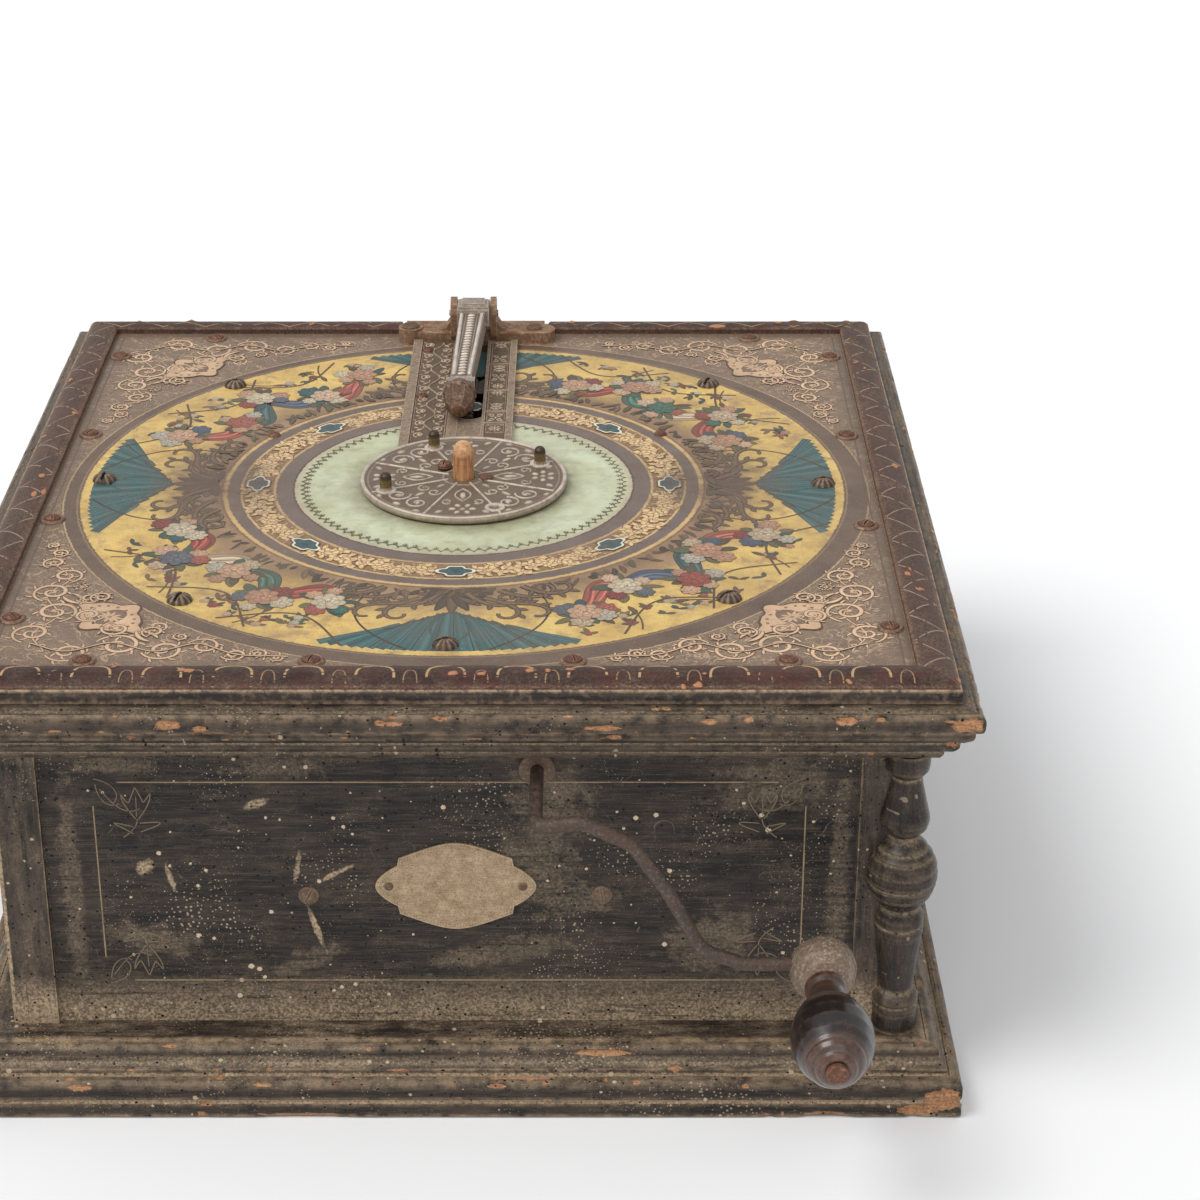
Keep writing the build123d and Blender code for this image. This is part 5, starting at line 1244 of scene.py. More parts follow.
moulding('cornice_upper', CROWN, M_EB_M, ['cornice_moulding'], seed=11, n_chips=52, dent=0.24,
         chips=[('front', -104, (204.5, 179.4), 6, 2.8, 1.0), ('front', -92, (204.3, 177.4), 4, 2.2, 0.8), ('front', 198, (204.5, 179), 8, 4.5, 1.2),
                ('front', 152, (204.3, 181.2), 5, 2.4, 0.8), ('front', 60, (204.5, 178), 9, 1.6, 0.6), ('right', -196, (204.5, 179.4), 8, 4, 1.1),
                ('front', -20, (204.5, 180), 6, 1.4, 0.5), ('front', 100, (204.3, 181), 4, 1.6, 0.6)])
moulding('edge_bands', STRIP, M_STRIP, ['edge_strips'], seed=14, n_chips=20, dent=0.14, step=0.8,
         spans={'back': [(-1.0, -35.8 / 190.0), (38.6 / 190.0, 1.0)]})

COLUMN = [(0.01, 28.2), (9.3, 28.2), (9.0, 36.8), (9.3, 37.5), (9.3, 39.0), (8.9, 40.5), (9.4, 41.5), (9.4, 43.0), (8.6, 44.7),
          (7.2, 46.0), (6.9, 47.1), (8.1, 60.0), (9.4, 71.9), (9.8, 73.5), (9.8, 76.4), (9.4, 77.2), (9.8, 78.0), (9.8, 81.0),
          (9.0, 82.5), (8.0, 84.5), (8.0, 85.6), (9.2, 87.4), (10.2, 88.5), (12.2, 91.4), (12.2, 92.1), (13.0, 93.5),
          (13.8, 96.3), (13.5, 97.2), (14.2, 98.5), (14.2, 101.4), (13.7, 103.4), (13.9, 104.6), (13.2, 106.6), (11.8, 108.8),
          (11.9, 109.6), (9.5, 112.2), (9.6, 113.0), (8.8, 113.9), (6.6, 116.2), (6.1, 117.9), (7.2, 119.4), (8.9, 121.2),
          (9.2, 122.0), (9.9, 124.5), (9.8, 126.5), (8.3, 133.0), (6.8, 140.0), (6.2, 143.4), (6.0, 144.2), (7.0, 145.4),
          (8.6, 147.5), (9.0, 150.0), (9.2, 155.95), (0.01, 155.95)]
for i, (sx, sy) in enumerate(((1, -1), (1, 1), (-1, 1))):
    lathe('turned_column_%d' % i, COLUMN, M_EB_C, (sx * 178.9, sy * (CB - 0.3), 0.0), seg=56, step=0.7, wob=0.12, seed=i, sharp=40, replaces=['corner_columns'] if i == 0 else ())

def mat_knob():
    t = Tree('black_knob_lacquer')
    h = t.attr('h')
    n = t.noise(0.35, 5, 0.7)
    f_ = t.noise(1.4, 4, 0.7)
    col = t.mix(t.rng(n, 0.4, 0.7) * 0.5, lin(20, 17, 16), lin(48, 34, 30))
    neck = t.rng(h, -262, -246, smooth=True) * t.rng(n, 0.35, 0.6, 0.4, 1.0)
    col = t.mix(neck * 0.65, col, lin(78, 52, 42))
    tip = t.rng(h, -286.5, -289.5) * t.rng(n, 0.3, 0.6, 0.4, 1.0)
    col = t.mix(tip * 0.55, col, lin(84, 58, 46))
    col = t.mix(t.attr('cvx') * t.rng(n, 0.35, 0.6) * 0.8, col, lin(132, 86, 62))
    col = t.mix(t.attr('ccv') * 0.5, col, lin(112, 92, 76))
    sp = t.rng(t.voro(0.6), 0.12, 0.08) * t.rng(t.noise(0.15, 2, 0.5), 0.52, 0.6)
    col = t.mix(sp, col, lin(150, 96, 66))
    return t.done(col, t.rng(f_, 0.3, 0.75, 0.26, 0.42), 0.0, t.bump(f_ * 0.5 + n, 0.25, 0.15), spec=0.5, coat=0.35, coat_rough=0.12)


M_KNOB = mat_knob()
KNOB = [(7.0, -240.2), (7.4, -240.2), (8.2, -241.6), (8.0, -243.4), (6.9, -245.6), (6.6, -248.4), (7.4, -251.6),
        (9.6, -256.0), (12.4, -261.2), (14.6, -267.0), (15.7, -273.0), (15.5, -279.0), (14.1, -284.6), (12.0, -288.6),
        (11.2, -289.4), (11.0, -290.6), (9.6, -292.4), (7.8, -293.6), (7.5, -294.4), (5.6, -295.6), (2.56, -295.6)]
lathe('turned_crank_knob', KNOB, M_KNOB, (144.8, 0, 84.1), axis='Y', seg=96, step=0.7, wob=0.05, seed=5, sharp=40, replaces=['crank_knob'], body='knob')


# ------------------------------------------------------------------ cast relief
class Field:
    """A height map in millimetres that raised strokes and beads are pressed into."""
    def __init__(self, x0, y0, x1, y1, res):
        self.x0, self.y0, self.res = x0, y0, res
        self.w, self.h = int((x1 - x0) / res) + 2, int((y1 - y0) / res) + 2
        self.a = np.zeros((self.h, self.w))

    def oval(self, cx, cy, rx, ry, rot, h, round_=0.5):
        r = max(rx, ry) + self.res
        i0, i1 = int((cx - r - self.x0) / self.res), int((cx + r - self.x0) / self.res) + 2
        j0, j1 = int((cy - r - self.y0) / self.res), int((cy + r - self.y0) / self.res) + 2
        i0, j0, i1, j1 = max(0, i0), max(0, j0), min(self.w, i1), min(self.h, j1)
        if i1 <= i0 or j1 <= j0:
            return
        X = self.x0 + np.arange(i0, i1) * self.res - cx
        Y = self.y0 + np.arange(j0, j1) * self.res - cy
        X, Y = np.meshgrid(X, Y)
        c, s = math.cos(rot), math.sin(rot)
        u, v = (X * c + Y * s) / rx, (-X * s + Y * c) / ry
        q = np.clip(1 - (u * u + v * v), 0, 1) ** round_ * h
        self.a[j0:j1, i0:i1] = np.maximum(self.a[j0:j1, i0:i1], q)

    def stroke(self, pts, w, h, round_=0.5):
        pts = np.asarray(pts, float)
        w = np.full(len(pts), w, float) if np.isscalar(w) else np.asarray(w, float)
        for k in range(len(pts) - 1):
            L = np.hypot(*(pts[k + 1] - pts[k]))
            n = max(1, int(L / (self.res * 1.2)))
            for q in range(n):
                f = q / n
                p = pts[k] * (1 - f) + pts[k + 1] * f
                r = w[k] * (1 - f) + w[k + 1] * f
                self.oval(p[0], p[1], r, r, 0, h, round_)

    def sample(self, X, Y):
        fx = np.clip((np.asarray(X) - self.x0) / self.res, 0, self.w - 1.001)
        fy = np.clip((np.asarray(Y) - self.y0) / self.res, 0, self.h - 1.001)
        i, j = fx.astype(int), fy.astype(int)
        a, b = fx - i, fy - j
        A = self.a
        return A[j, i] * (1 - a) * (1 - b) + A[j, i + 1] * a * (1 - b) + A[j + 1, i] * (1 - a) * b + A[j + 1, i + 1] * a * b


def spiral(cx, cy, r0, r1, a0, turns, n=30):
    t = np.linspace(0, 1, n)
    r = r0 + (r1 - r0) * t
    a = a0 + 2 * PI * turns * t
    return np.stack([cx + r * np.cos(a), cy + r * np.sin(a)], 1)


M_TT = metal('cast_turntable', lin(112, 94, 78), lin(160, 143, 126), lin(214, 201, 184), attrs=True, rust=0.35, rust_col=(134, 106, 82), metallic=0.3, rough=0.42, white=0.25)
M_KP = metal('cast_keyframe', lin(98, 80, 64), lin(160, 138, 115), lin(222, 202, 176), attrs=True, rust=0.32, rust_col=(120, 84, 58), metallic=0.35, rough=0.52, white=0.25)
M_KPF = metal('cast_keyframe_flat', lin(112, 92, 74), lin(158, 137, 115), lin(204, 184, 160), attrs=False, rust=0.3, rust_col=(120, 84, 58), metallic=0.35, rough=0.52, white=0.2)
M_ARM = metal('cast_arm', lin(112, 96, 83), lin(170, 154, 140), lin(230, 220, 208), attrs=False, rust=0.2, rust_col=(120, 82, 58), metallic=0.5, rough=0.42, white=0.15)
M_ARMR = metal('cast_arm_relief', lin(92, 76, 64), lin(168, 152, 136), lin(236, 226, 212), attrs=True, rust=0.15, rust_col=(120, 82, 58), metallic=0.5, rough=0.42, white=0.15)
M_BRK = metal('cast_bracket', lin(98, 72, 54), lin(150, 120, 94), lin(196, 172, 146), attrs=False, rust=0.7, rust_col=(140, 92, 60), metallic=0.35, rough=0.55, white=0.2)


def build_turntable():
    f = Field(-47, -47, 47, 47, 0.13)
    RIB = math.radians(23.7)

    def rot(pts, a):
        pts = np.asarray(pts, float)
        c, s = math.cos(a), math.sin(a)
        return np.stack([pts[:, 0] * c - pts[:, 1] * s, pts[:, 0] * s + pts[:, 1] * c], 1)
    for k in range(8):
        a = RIB + k * PI / 4
        f.stroke(rot([(7.5, 0), (42.5, 0)], a), 0.62, 0.62, 0.35)
        m = a + PI / 8
        # motif between two spokes, drawn about +X
        if k % 2 == 0:
            for s in (-1, 1):
                f.stroke(rot(spiral(33.5, s * 6.0, 5.4, 1.3, s * -2.4, s * 1.25, 44), m), np.linspace(0.62, 0.45, 44), 0.6)
                f.oval(*rot([(33.4, s * 6.0)], m)[0], 1.9, 1.15, m + s * 0.6, 0.62)
                f.stroke(rot(spiral(20.5, s * 3.1, 3.1, 0.9, s * 1.9, -s * 1.1, 30), m), np.linspace(0.55, 0.4, 30), 0.55)
            f.oval(*rot([(40.2, 0)], m)[0], 1.6, 2.4, m, 0.6)
            f.oval(*rot([(26.4, 0)], m)[0], 3.0, 1.15, m, 0.62)
            f.oval(*rot([(13.8, 0)], m)[0], 2.6, 1.0, m, 0.55)
            for s in (-1, 1):
                f.oval(*rot([(39.6, s * 11.6)], m)[0], 1.25, 2.0, m + s * 0.3, 0.55)
        else:
            # cluster of ovals round a middle one, and a looped teardrop towards the hub
            for q in range(6):
                th = q * PI / 3 + 0.5
                f.oval(*rot([(34.8 + 4.0 * math.cos(th), 4.4 * math.sin(th))], m)[0], 1.75, 1.3, m + th, 0.66)
            f.oval(*rot([(34.8, 0)], m)[0], 1.5, 1.5, m, 0.5)
            for s in (-1, 1):
                f.oval(*rot([(37.6, s * 10.2)], m)[0], 2.2, 1.3, m + s * 0.9, 0.6)
                f.stroke(rot(spiral(27.0, s * 6.6, 2.6, 0.8, s * -0.5, s * 1.1, 26), m), np.linspace(0.5, 0.4, 26), 0.52)
            t = np.linspace(0, 1, 40)
            f.stroke(rot(np.stack([13.5 + 13.0 * t, 0 * t + 3.4 * np.sin(PI * t) * np.where(t < 2, 1, 1)], 1), m), 0.5, 0.55)
            f.stroke(rot(np.stack([13.5 + 13.0 * t, -3.4 * np.sin(PI * t)], 1), m), 0.5, 0.55)
            f.oval(*rot([(20.6, 0)], m)[0], 3.6, 1.35, m, 0.66)
    th = np.linspace(0, 2 * PI, 240)
    f.stroke(np.stack([42.0 * np.cos(th), 42.0 * np.sin(th)], 1), 0.4, 0.3)
    f.stroke(np.stack([9.0 * np.cos(th), 9.0 * np.sin(th)], 1), 0.6, 0.4)
    for k in range(4):
        a = RIB + k * PI / 2
        f.oval(36.3 * math.cos(a), 36.3 * math.sin(a), 4.5, 4.5, 0, 0.75, 0.14)
    holes = [(36.3 * math.cos(RIB + k * PI / 2), 36.3 * math.sin(RIB + k * PI / 2), 2.62) for k in range(4)]
    holes += [(-8.7, 9.5, 2.7), (9.6, -1.6, 1.7)]
    R = np.concatenate([np.arange(4.8, 45.3, 0.3), [45.4]])
    NA = 820
    A_ = np.linspace(0, 2 * PI, NA, endpoint=False)
    RR, AA = np.meshgrid(R, A_, indexing='ij')
    X, Y = RR * np.cos(AA), RR * np.sin(AA)
    H = f.sample(X, Y)
    rim = np.clip((RR - 43.2) / 0.7, 0, 1) * 0.75
    rnd_ = np.clip((45.4 - RR) / 0.6, 0, 1) ** 0.5
    H = np.maximum(H, rim * (0.35 + 0.65 * rnd_))
    Z = 193.24 + H
    cut = np.zeros_like(H, bool)
    for hx, hy, hr in holes:
        d = np.hypot(X - hx, Y - hy)
        cut |= d < hr
        near = (d < hr + 0.34) & ~cut
    Z = np.where(cut, Z - 2.2, Z)
    rel = np.where(cut, 0.0, np.clip(H / 0.7, 0, 1))
    V, at, F = [], [], []
    nr = len(R)
    for i in range(nr):
        for j in range(NA):
            V.append((X[i, j], CY + Y[i, j], Z[i, j]))
            at.append(rel[i, j])
    # rolled edge and wall
    for (r_, z_, q_) in ((45.4, 193.2, 0.75), (45.4, 191.6, 0.42), (45.1, 190.9, 0.2), (44.6, 190.7, 0.1)):
        for j in range(NA):
            V.append((r_ * math.cos(A_[j]), CY + r_ * math.sin(A_[j]), z_))
            at.append(q_)
    for i in range(nr + 3):
        for j in range(NA):
            k = (j + 1) % NA
            F.append((i * NA + j, (i + 1) * NA + j, (i + 1) * NA + k, i * NA + k))
    # wall of the middle hole
    b = len(V)
    for j in range(NA):
        V.append((4.8 * math.cos(A_[j]), CY + 4.8 * math.sin(A_[j]), 190.8)); at.append(0.0)
    for j in range(NA):
        k = (j + 1) % NA
        F.append((b + j, j, k, b + k))
    o = new_mesh('turntable_casting', V, F, {'rel': at}, M_TT, smooth=True, body='disc_drive')
    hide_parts('turntable')


build_turntable()


def relief_panel(name, f, x0, x1, ytop, base, mat, body='case', nx=None, ny=None):
    """A strip of low relief that starts at the turntable's clearance and runs back to ytop."""
    nx = nx or int((x1 - x0) / 0.22)
    ny = ny or 460
    V, at, F = [], [], []
    for i in range(nx + 1):
        x = x0 + (x1 - x0) * i / nx
        y0 = CY + math.sqrt(max(0.0, 46.9 ** 2 - x * x))
        for j in range(ny + 1):
            y = y0 + (ytop - y0) * j / ny
            V.append([x, y, 0.0])
    A = np.array(V)
    H = f.sample(A[:, 0], A[:, 1])
    g = np.array([mnoise.noise(Vector((a * 0.9, b * 0.9, 3.0))) for a, b in A[:, :2]]) * 0.07
    A[:, 2] = base + 0.05 + np.maximum(0, H + g * (H > 0.03) + 0.03 * (g > 0))
    at = np.clip(H / 0.75, 0, 1)
    for i in range(nx):
        for j in range(ny):
            a = i * (ny + 1) + j
            F.append((a, a + ny + 1, a + ny + 2, a + 1))
    return new_mesh(name, [tuple(v) for v in A], F, {'rel': at}, mat, smooth=True, body=body)


def build_keyframe():
    rnd = random.Random(21)
    f = Field(-32, 30, 21, 172, 0.14)
    # left field: a wavy stem with curls and leaves to both sides
    cx, y = -18.6, 44.0
    t = np.linspace(0, 1, 160)
    yy = 44 + 122 * t
    stem = np.stack([cx + 2.3 * np.sin((yy - 44) / 7.2 * PI / 1.6), yy], 1)
    f.stroke(stem, 0.42, 0.5)
    k = 0
    while y < 166:
        s = 1 if k % 2 else -1
        f.stroke(spiral(cx + s * 4.0, y + 3.2, 2.7, 0.8, -s * 1.2 + (PI if s < 0 else 0), s * 1.15, 26), np.linspace(0.5, 0.38, 26), 0.58)
        f.oval(cx + s * 4.0, y + 3.2, 0.9, 0.9, 0, 0.7)
        f.oval(cx - s * 3.9, y + 2.2, 2.1, 0.75, s * 0.7, 0.6)
        f.oval(cx - s * 5.6, y + 4.8, 1.6, 0.65, -s * 0.5, 0.55)
        f.oval(cx - s * 2.2, y + 5.2, 1.5, 0.6, s * 1.4, 0.55)
        f.oval(cx + s * 6.6, y + 6.6, 1.2, 0.6, s * 1.1, 0.5)
        y += 7.2
        k += 1
    for s in (-26.2, -11.0):
        f.stroke([(s, 40), (s, 168)], 0.35, 0.4)
    # right field: a framed flower or knot in each bay
    bays = [(48.5, 61.0), (61.0, 75.0), (75.0, 101.5), (101.5, 136.2), (136.2, 166.0)]
    for n_, (a, b) in enumerate(bays):
        cy_, cx_ = (a + b) / 2, 11.8
        f.stroke([(7.7, a + 1.6), (15.9, a + 1.6), (15.9, b - 1.6), (7.7, b - 1.6), (7.7, a + 1.6)], 0.3, 0.42)
        m = max(1, int(round((b - a) / 12.5)))
        for q in range(m):
            c = a + (b - a) * (q + 0.5) / m
            if abs(c - 97.9) < 4 or abs(c - 160.3) < 4:
                c += 4
            kind = (n_ + q) % 3
            if kind == 0:
                for i in range(8):
                    th = i * PI / 4
                    f.oval(cx_ + 2.0 * math.cos(th), c + 2.3 * math.sin(th), 1.3, 0.55, th, 0.62)
                f.oval(cx_, c, 0.8, 0.8, 0, 0.72)
            elif kind == 1:
                for sx in (-1, 1):
                    for sy in (-1, 1):
                        f.stroke(spiral(cx_ + sx * 1.9, c + sy * 2.2, 1.6, 0.5, (0.6 if sx > 0 else 2.5) * sy, sx * sy * 1.0, 20), 0.36, 0.6)
                f.oval(cx_, c, 0.7, 1.1, 0, 0.65)
            else:
                for s in (-1, 1):
                    f.stroke(np.stack([cx_ + s * 2.6 * np.sin(np.linspace(-PI / 2, PI / 2, 24) * 2), c + np.linspace(-3.6, 3.6, 24)], 1), 0.4, 0.6)
                for dy in (-2.6, 0, 2.6):
                    f.oval(cx_, c + dy, 0.85, 0.7, 0, 0.7)
            for sx in (-1, 1):
                for sy in (-1, 1):
                    f.oval(cx_ + sx * 3.0, c + sy * 4.1, 0.8, 0.45, sx * sy * 0.7, 0.5)
    relief_panel('keyframe_scrolls', f, -26.7, -10.5, 167.8, 191.8, M_KP)
    relief_panel('keyframe_bays', f, 7.0, 16.5, 167.8, 191.8, M_KP)


build_keyframe()


def build_arm_relief():
    def top(y):
        return 205.2 + (y - 82.0) / 22.0 * 1.8 if y < 104 else 207.0 + (y - 104.0) / 62.0 * 3.4
    V, at, F = [], [], []
    nv, nu = 520, 34
    y0, y1 = 87.0, 158.5
    for j in range(nv + 1):
        y = y0 + (y1 - y0) * j / nv
        c = -4.7 + (y - 81.0) / 89.0 * 3.1
        hw = (4.7 + (y - 81.0) / 89.0 * 1.5) - 0.15
        fade = min(1.0, (y - y0) / 1.2, (y1 - y) / 1.2)
        for i in range(nu + 1):
            u = -1 + 2 * i / nu
            w = u * hw
            rim = max(0.0, 1 - ((abs(w) - (hw - 0.95)) / 0.85) ** 2) ** 0.5 * 1.0 if abs(abs(w) - (hw - 0.95)) < 0.85 else 0.0
            ph = ((y - y0) % 3.05) - 1.525
            rung = max(0.0, 1 - (w / 2.15) ** 2 - (ph / 1.0) ** 2) ** 0.5 * 0.85
            q = max(0.0, 1 - (abs(w) - 2.75) ** 2 / 0.09) ** 0.5 * 0.4 if abs(abs(w) - 2.75) < 0.3 else 0.0
            h = max(rim, rung, q) * max(0.0, fade)
            V.append((c + w, y, top(y) + 0.04 + h * 0.9))
            at.append(min(1.0, 0.08 + h))
    for j in range(nv):
        for i in range(nu):
            a = j * (nu + 1) + i
            F.append((a, a + 1, a + nu + 2, a + nu + 1))
    new_mesh('arm_beading', V, F, {'rel': at}, M_ARMR, smooth=True, body='arm')


build_arm_relief()

# ------------------------------------------------------------------ crank boss, arm finial and centre peg
M_BOSS = metal('worn_plating', lin(104, 84, 66), lin(134, 116, 98), lin(196, 184, 168), attrs=False, rust=0.45, rust_col=(112, 80, 56), metallic=0.4, rough=0.5, white=0.5, bump=0.8)
BOSS = [(0.01, -218.6), (6.5, -218.6), (10.6, -220.6), (12.8, -224.6), (13.2, -228.6), (12.3, -233.4), (9.6, -237.6), (6.0, -239.6), (2.6, -239.6)]
lathe('cast_boss', BOSS, M_BOSS, (144.8, 0, 84.1), axis='Y', seg=72, step=0.7, wob=0.28, seed=3, sharp=50, replaces=['crank_boss'], body='crank')
M_FIN = metal('bronzed_finial', lin(58, 44, 36), lin(108, 82, 64), lin(178, 150, 124), attrs=False, rust=0.5, rust_col=(122, 76, 50), metallic=0.45, rough=0.4, white=0.2)
sa, ca = math.sin(math.radians(10)), math.cos(math.radians(10))
FIN = [(0.01, 2.0), (5.6, 2.0), (6.2, 0.0), (6.6, -1.2), (7.8, -2.2), (8.0, -4.0), (7.2, -5.2), (6.9, -6.4), (7.2, -8.2), (7.0, -11.0),
       (6.2, -13.8), (4.9, -15.4), (4.6, -16.4), (3.2, -18.2), (1.5, -19.0), (0.01, -19.2)]
fin = lathe('cast_finial', FIN, M_FIN, (-4.9, 78.1, 201.6), axis=((1, 0, 0), (0, sa, -ca), (0, ca, sa)), seg=80, step=0.5, wob=0.05, seed=9, sharp=42, replaces=['arm_knob'], body='arm')

for v in fin.data.vertices:
    d = np.array([v.co.x / MM + 4.9, v.co.y / MM - 78.1, v.co.z / MM - 201.6])
    p1, p2, hgt = d[0], d[1] * sa - d[2] * ca, d[1] * ca + d[2] * sa
    r = math.hypot(p1, p2)
    if r > 0.5 and -18.0 < hgt < -0.4:
        a = math.atan2(p2, p1) + PI / 8
        q = (a % (PI / 4)) - PI / 8
        s_ = math.cos(PI / 8) / math.cos(q)
        if -5.4 < hgt < -2.0:
            s_ = 0.965 + 0.035 * math.cos(12 * a)
        d = np.array([p1 * s_, (p2 * sa) * s_ + hgt * ca, (-p2 * ca) * s_ + hgt * sa])
        v.co = ((d[0] - 4.9) * MM, (d[1] + 78.1) * MM, (d[2] + 201.6) * MM)
fin.data.update()
fin.data.set_sharp_from_angle(angle=math.radians(22))


def mat_pale_wood():
    t = Tree('whittled_wood')
    x, y, z = t.sep(t.pos())
    g = t.noise(0.9, 5, 0.65, t.stretch(1, 1, 0.12))
    f_ = t.noise(3.0, 4, 0.7, t.stretch(1, 1, 0.2))
    m_ = t.noise(0.4, 4, 0.6)
    col = t.mix(t.rng(g, 0.35, 0.7), lin(206, 156, 108), lin(152, 98, 62))
    col = t.mix(t.rng(f_, 0.5, 0.75) * 0.5, col, lin(104, 66, 44))
    col = t.mix(t.rng(m_, 0.5, 0.72) * 0.6, col, lin(122, 72, 46))
    col = t.mix(t.rng(z, 203, 207, smooth=True) * t.rng(m_, 0.4, 0.65), col, lin(224, 182, 138))
    return t.done(col, 0.7, 0.0, t.bump(g * 0.6 + f_ * 0.4, 0.6, 0.3), spec=0.3)


M_PEGW = mat_pale_wood()
PEG = [(0.01, 191.0), (4.7, 191.0), (4.7, 196.0), (4.75, 204.5), (4.3, 207.4), (3.3, 209.2), (1.8, 210.1), (0.01, 210.3)]
peg = lathe('whittled_peg', PEG, M_PEGW, (0, CY, 0), seg=81, step=0.5, seed=2, sharp=60, replaces=['centre_peg'], body='disc_drive')
for v in peg.data.vertices:
    x, y, z = v.co.x / MM, v.co.y / MM - CY, v.co.z / MM
    r = math.hypot(x, y)
    if r > 0.5:
        a = math.atan2(y, x) + 0.25 * math.sin(z / 5.0)
        q = (a % (2 * PI / 9)) - PI / 9
        s = math.cos(PI / 9) / math.cos(q)
        s *= 1.0 + 0.025 * mnoise.noise(Vector((math.cos(a) * 2, math.sin(a) * 2, z / 3.0)))
        s = min(1.0, s)
        v.co.x, v.co.y = x * s * MM, (y * s + CY) * MM
peg.data.update()


# ------------------------------------------------------------------ screw heads with rayed tops
def rayed_screws():
    V, at, F = [], [], []
    pos = [(-1.1, -161.3), (-109.8, -121.6), (-158.7, 0.4), (-113.6, 113.6), (112.0, 114.8), (158.0, -3.8), (111.3, -119.9)]
    rots = (12, 70, 84, 20, 65, 5, 30)
    nr, na = 22, 96
    for (x, y), ro in zip(pos, rots):
        b = len(V)
        for i in range(nr + 1):
            r = 5.25 * i / nr
            for j in range(na):
                a = 2 * PI * j / na
                ray = 0.5 + 0.5 * math.cos(11 * a)
                dome = 3.3 * max(0.0, 1 - (r / 5.55) ** 2.3) ** 0.8
                edge = 1.0 if r < 4.9 else max(0.0, (5.25 - r) / 0.35)
                z = 0.15 + dome * (0.90 + 0.10 * ray * min(1, r / 2.5)) * edge
                u = r * math.cos(a - math.radians(ro))
                w = r * math.sin(a - math.radians(ro))
                if abs(w) < 0.62:
                    z = min(z, 1.55)
                z = max(0.0, z)
                V.append((x + r * math.cos(a), y + r * math.sin(a), TOP + z))
                at.append(min(1.0, 0.15 + 0.6 * ray * (r > 1.2) * (abs(w) >= 0.62) + 0.25 * (z > 2.6)))
        for i in range(nr):
            for j in range(na):
                k = (j + 1) % na
                F.append((b + i * na + j, b + (i + 1) * na + j, b + (i + 1) * na + k, b + i * na + k))
    o = new_mesh('rayed_screws', V, F, {'rel': at}, M_RS, smooth=True)
    sharp_by_angle(o, 50)
    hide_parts('ring_screws')


M_RS = metal('rayed_iron', lin(48, 38, 32), lin(96, 80, 66), lin(150, 132, 112), attrs=True, rust=0.4, rust_col=(116, 74, 48), metallic=0.45, rough=0.5, white=0.15)
rayed_screws()


# ------------------------------------------------------------------ beaded rim of the bare plate
def plate_beads():
    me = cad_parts['nameplate'].data
    pts = set()
    ymin = min(v.co.y for v in me.vertices)
    for v in me.vertices:
        if abs(v.co.y - ymin) < 1e-5:
            dx, dz = v.co.x / MM - 1.8, v.co.z / MM - 92.6
            if math.hypot(abs(dx) - 26.7, dz) > 1.3:
                pts.add((round(dx, 3), round(dz, 3)))
    pts = sorted(pts, key=lambda p: math.atan2(p[1], p[0]))
    P = np.array(pts + pts[:1])
    seg = np.hypot(*(P[1:] - P[:-1]).T)
    s = np.concatenate([[0], np.cumsum(seg)])
    n = int(s[-1] / 1.25)
    V, F = [], []
    for i in range(n):
        q = s[-1] * i / n
        k = min(len(seg) - 1, int(np.searchsorted(s, q, 'right')) - 1)
        p = P[k] + (P[k + 1] - P[k]) * (q - s[k]) / max(1e-6, seg[k])
        d = P[k + 1] - P[k]
        d = d / max(1e-6, np.hypot(*d))
        c = p + np.array([-d[1], d[0]]) * 1.35
        b = len(V)
        V.append((1.8 + c[0], FACE_Y - 0.9 - 0.42, 92.6 + c[1]))
        for rr, hh in ((0.32, 0.33), (0.5, 0.02)):
            for j in range(8):
                a = 2 * PI * j / 8
                V.append((1.8 + c[0] + rr * math.cos(a), FACE_Y - 0.9 - hh, 92.6 + c[1] + rr * math.sin(a)))
        for j in range(8):
            k2 = (j + 1) % 8
            F.append((b, b + 1 + j, b + 1 + k2))
            F.append((b + 1 + j, b + 9 + j, b + 9 + k2, b + 1 + k2))
    return V, F


FACE_Y = -180.7
V_, F_ = plate_beads()


def mat_plate():
    t = Tree('bare_brass_plate')
    x, y, z = t.sep(t.pos())
    n = t.noise(0.25, 5, 0.65)
    brush = t.noise(1.2, 5, 0.6, t.stretch(0.1, 1, 1.6))
    fine = t.noise(2.2, 4, 0.7)
    col = t.mix(t.rng(n, 0.32, 0.68), lin(196, 172, 140), lin(160, 136, 108))
    col = t.mix(t.rng(brush, 0.46, 0.66) * 0.5, col, lin(138, 116, 90))
    col = t.mix(t.rng(fine, 0.50, 0.62) * 0.6, col, lin(92, 76, 60))
    fl = t.rng(t.voro(0.9), 0.22, 0.14) * t.rng(t.noise(0.2, 4, 0.7), 0.42, 0.6)
    col = t.mix(fl * 0.8, col, lin(74, 60, 48))
    e = t.bevel(0.9)
    col = t.mix(e * 0.6, col, lin(206, 184, 152))
    col = t.mix(t.rng(t.noise(0.5, 4, 0.7, t.stretch(1, 1, 1, (3, 3, 3))), 0.6, 0.7) * 0.5, col, lin(120, 96, 74))
    return t.done(col, t.rng(n, 0.3, 0.7, 0.5, 0.7), 0.35, t.bump(brush * 0.5 + fine * 0.4, 0.35, 0.15), spec=0.4)


M_PLATE = mat_plate()
new_mesh('plate_beading', V_, F_, None, M_PLATE, smooth=True)


